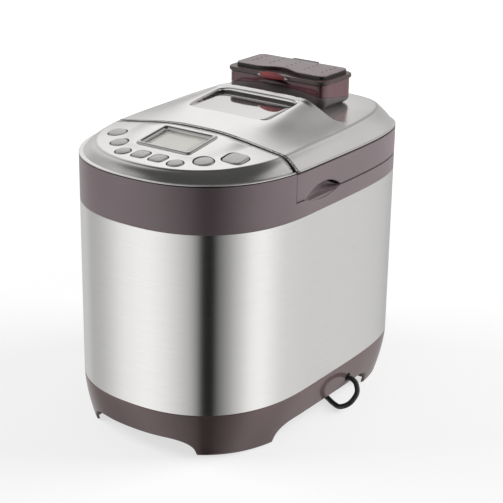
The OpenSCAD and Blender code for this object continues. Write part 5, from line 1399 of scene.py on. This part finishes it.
def makeFloor(s):
    # white paper: lit like the object, with a glow that only seen, mirrored and transmitted rays meet; it
    # grows with distance, so that a soft shadow stays by the object and the rest reads white
    material, tree, shader = newMaterial("studio floor", s["floor"], Roughness=1.0)
    path = addNode(tree, "ShaderNodeLightPath")
    seen = addNode(tree, "ShaderNodeMath", {"operation": "MAXIMUM"}, i0=path.outputs["Is Camera Ray"],
                   i1=path.outputs["Is Glossy Ray"])
    seen = addNode(tree, "ShaderNodeMath", {"operation": "MAXIMUM"}, i0=seen.outputs[0],
                   i1=path.outputs["Is Transmission Ray"])
    away = addNode(tree, "ShaderNodeVectorMath", {"operation": "LENGTH"}, i0=objectSpace(tree))
    spread = {"interpolation_type": "SMOOTHSTEP", "From Min": s["near"][0], "From Max": s["near"][1],
              "To Min": s["lift"][0], "To Max": s["lift"][1]}
    glow = addNode(tree, "ShaderNodeMapRange", spread, Value=away.outputs["Value"])
    seen = addNode(tree, "ShaderNodeMath", {"operation": "MULTIPLY"}, i0=seen.outputs[0],
                   i1=glow.outputs["Result"])
    shader.inputs["Emission Color"].default_value = (1, 1, 1, 1)
    tree.links.new(seen.outputs[0], shader.inputs["Emission Strength"])
    mesh = bpy.data.meshes.new("floor")
    h = s["half"]
    mesh.from_pydata([(-h, -h, 0), (h, -h, 0), (h, h, 0), (-h, h, 0)], [], [(0, 1, 2, 3)])
    mesh.materials.append(material)
    floor = bpy.data.objects.new("floor", mesh)
    bpy.context.collection.objects.link(floor)
    floor.visible_glossy = False
    return floor


def shadeRamp(tree, stops, turn):
    # grey ramp over the turn from the front, -180 to 180 degrees
    ramp = addNode(tree, "ShaderNodeValToRGB", Fac=turn)
    ramp.color_ramp.interpolation = "LINEAR"
    last = [(180, stops[0][1])]
    for k, (angle, shade) in enumerate(list(stops) + last):
        place = angle / 360 + 0.5
        part = ramp.color_ramp.elements[k] if k < 2 else ramp.color_ramp.elements.new(place)
        part.position, part.color = place, (shade, shade, shade, 1)
    return ramp.outputs["Color"]


def makeWorld(s):
    # white to the eye, an even glow on the object, and a shaded tent round it for metal and glass
    world = bpy.data.worlds.new("studio")
    bpy.context.scene.world = world
    world.use_nodes = True
    tree = world.node_tree
    where = addNode(tree, "ShaderNodeTexCoord").outputs["Generated"]
    turned = addNode(tree, "ShaderNodeMapping", {"Rotation": (0, 0, math.pi / 2)}, Vector=where).outputs[0]
    turn = addNode(tree, "ShaderNodeTexGradient", {"gradient_type": "RADIAL"}, Vector=turned).outputs["Fac"]
    height = addNode(tree, "ShaderNodeSeparateXYZ", Vector=where).outputs["Z"]

    def climb(limits):
        # 0 to 1 as the view turns up between the two limits
        return addNode(tree, "ShaderNodeMapRange", {"interpolation_type": "SMOOTHSTEP", "From Min": limits[0],
                                                    "From Max": limits[1]}, Value=height).outputs["Result"]
    tent = mixed(tree, climb(s["horizon"]), shadeRamp(tree, s["below"], turn),
                 shadeRamp(tree, s["above"], turn))
    tent = mixed(tree, climb(s["overhead"]), tent, s["roof"])
    path = addNode(tree, "ShaderNodeLightPath")
    mirrored = addNode(tree, "ShaderNodeMath", {"operation": "MAXIMUM"}, i0=path.outputs["Is Glossy Ray"],
                       i1=path.outputs["Is Transmission Ray"]).outputs[0]
    shown = mixed(tree, mirrored, s["world"], tent)
    final = mixed(tree, path.outputs["Is Camera Ray"], shown, 1.0)
    tree.links.new(final, tree.nodes["Background"].inputs["Color"])


def makeLamps(s):
    # soft boxes that light the object but stay out of its reflections
    for k, (place, target, size, power) in enumerate(s["lamps"]):
        data = bpy.data.lights.new("softbox%d" % k, "AREA")
        data.shape, data.size, data.size_y, data.energy = "RECTANGLE", size[0], size[1], power
        lamp = bpy.data.objects.new("softbox%d" % k, data)
        lamp.location = place
        lamp.rotation_euler = (Vector(target) - Vector(place)).to_track_quat("-Z", "Y").to_euler()
        lamp.visible_glossy = False
        bpy.context.collection.objects.link(lamp)


makeFloor(stageSettings)
makeWorld(stageSettings)
makeLamps(stageSettings)
bpy.context.scene.view_settings.view_transform = "Standard"
print("stage set")
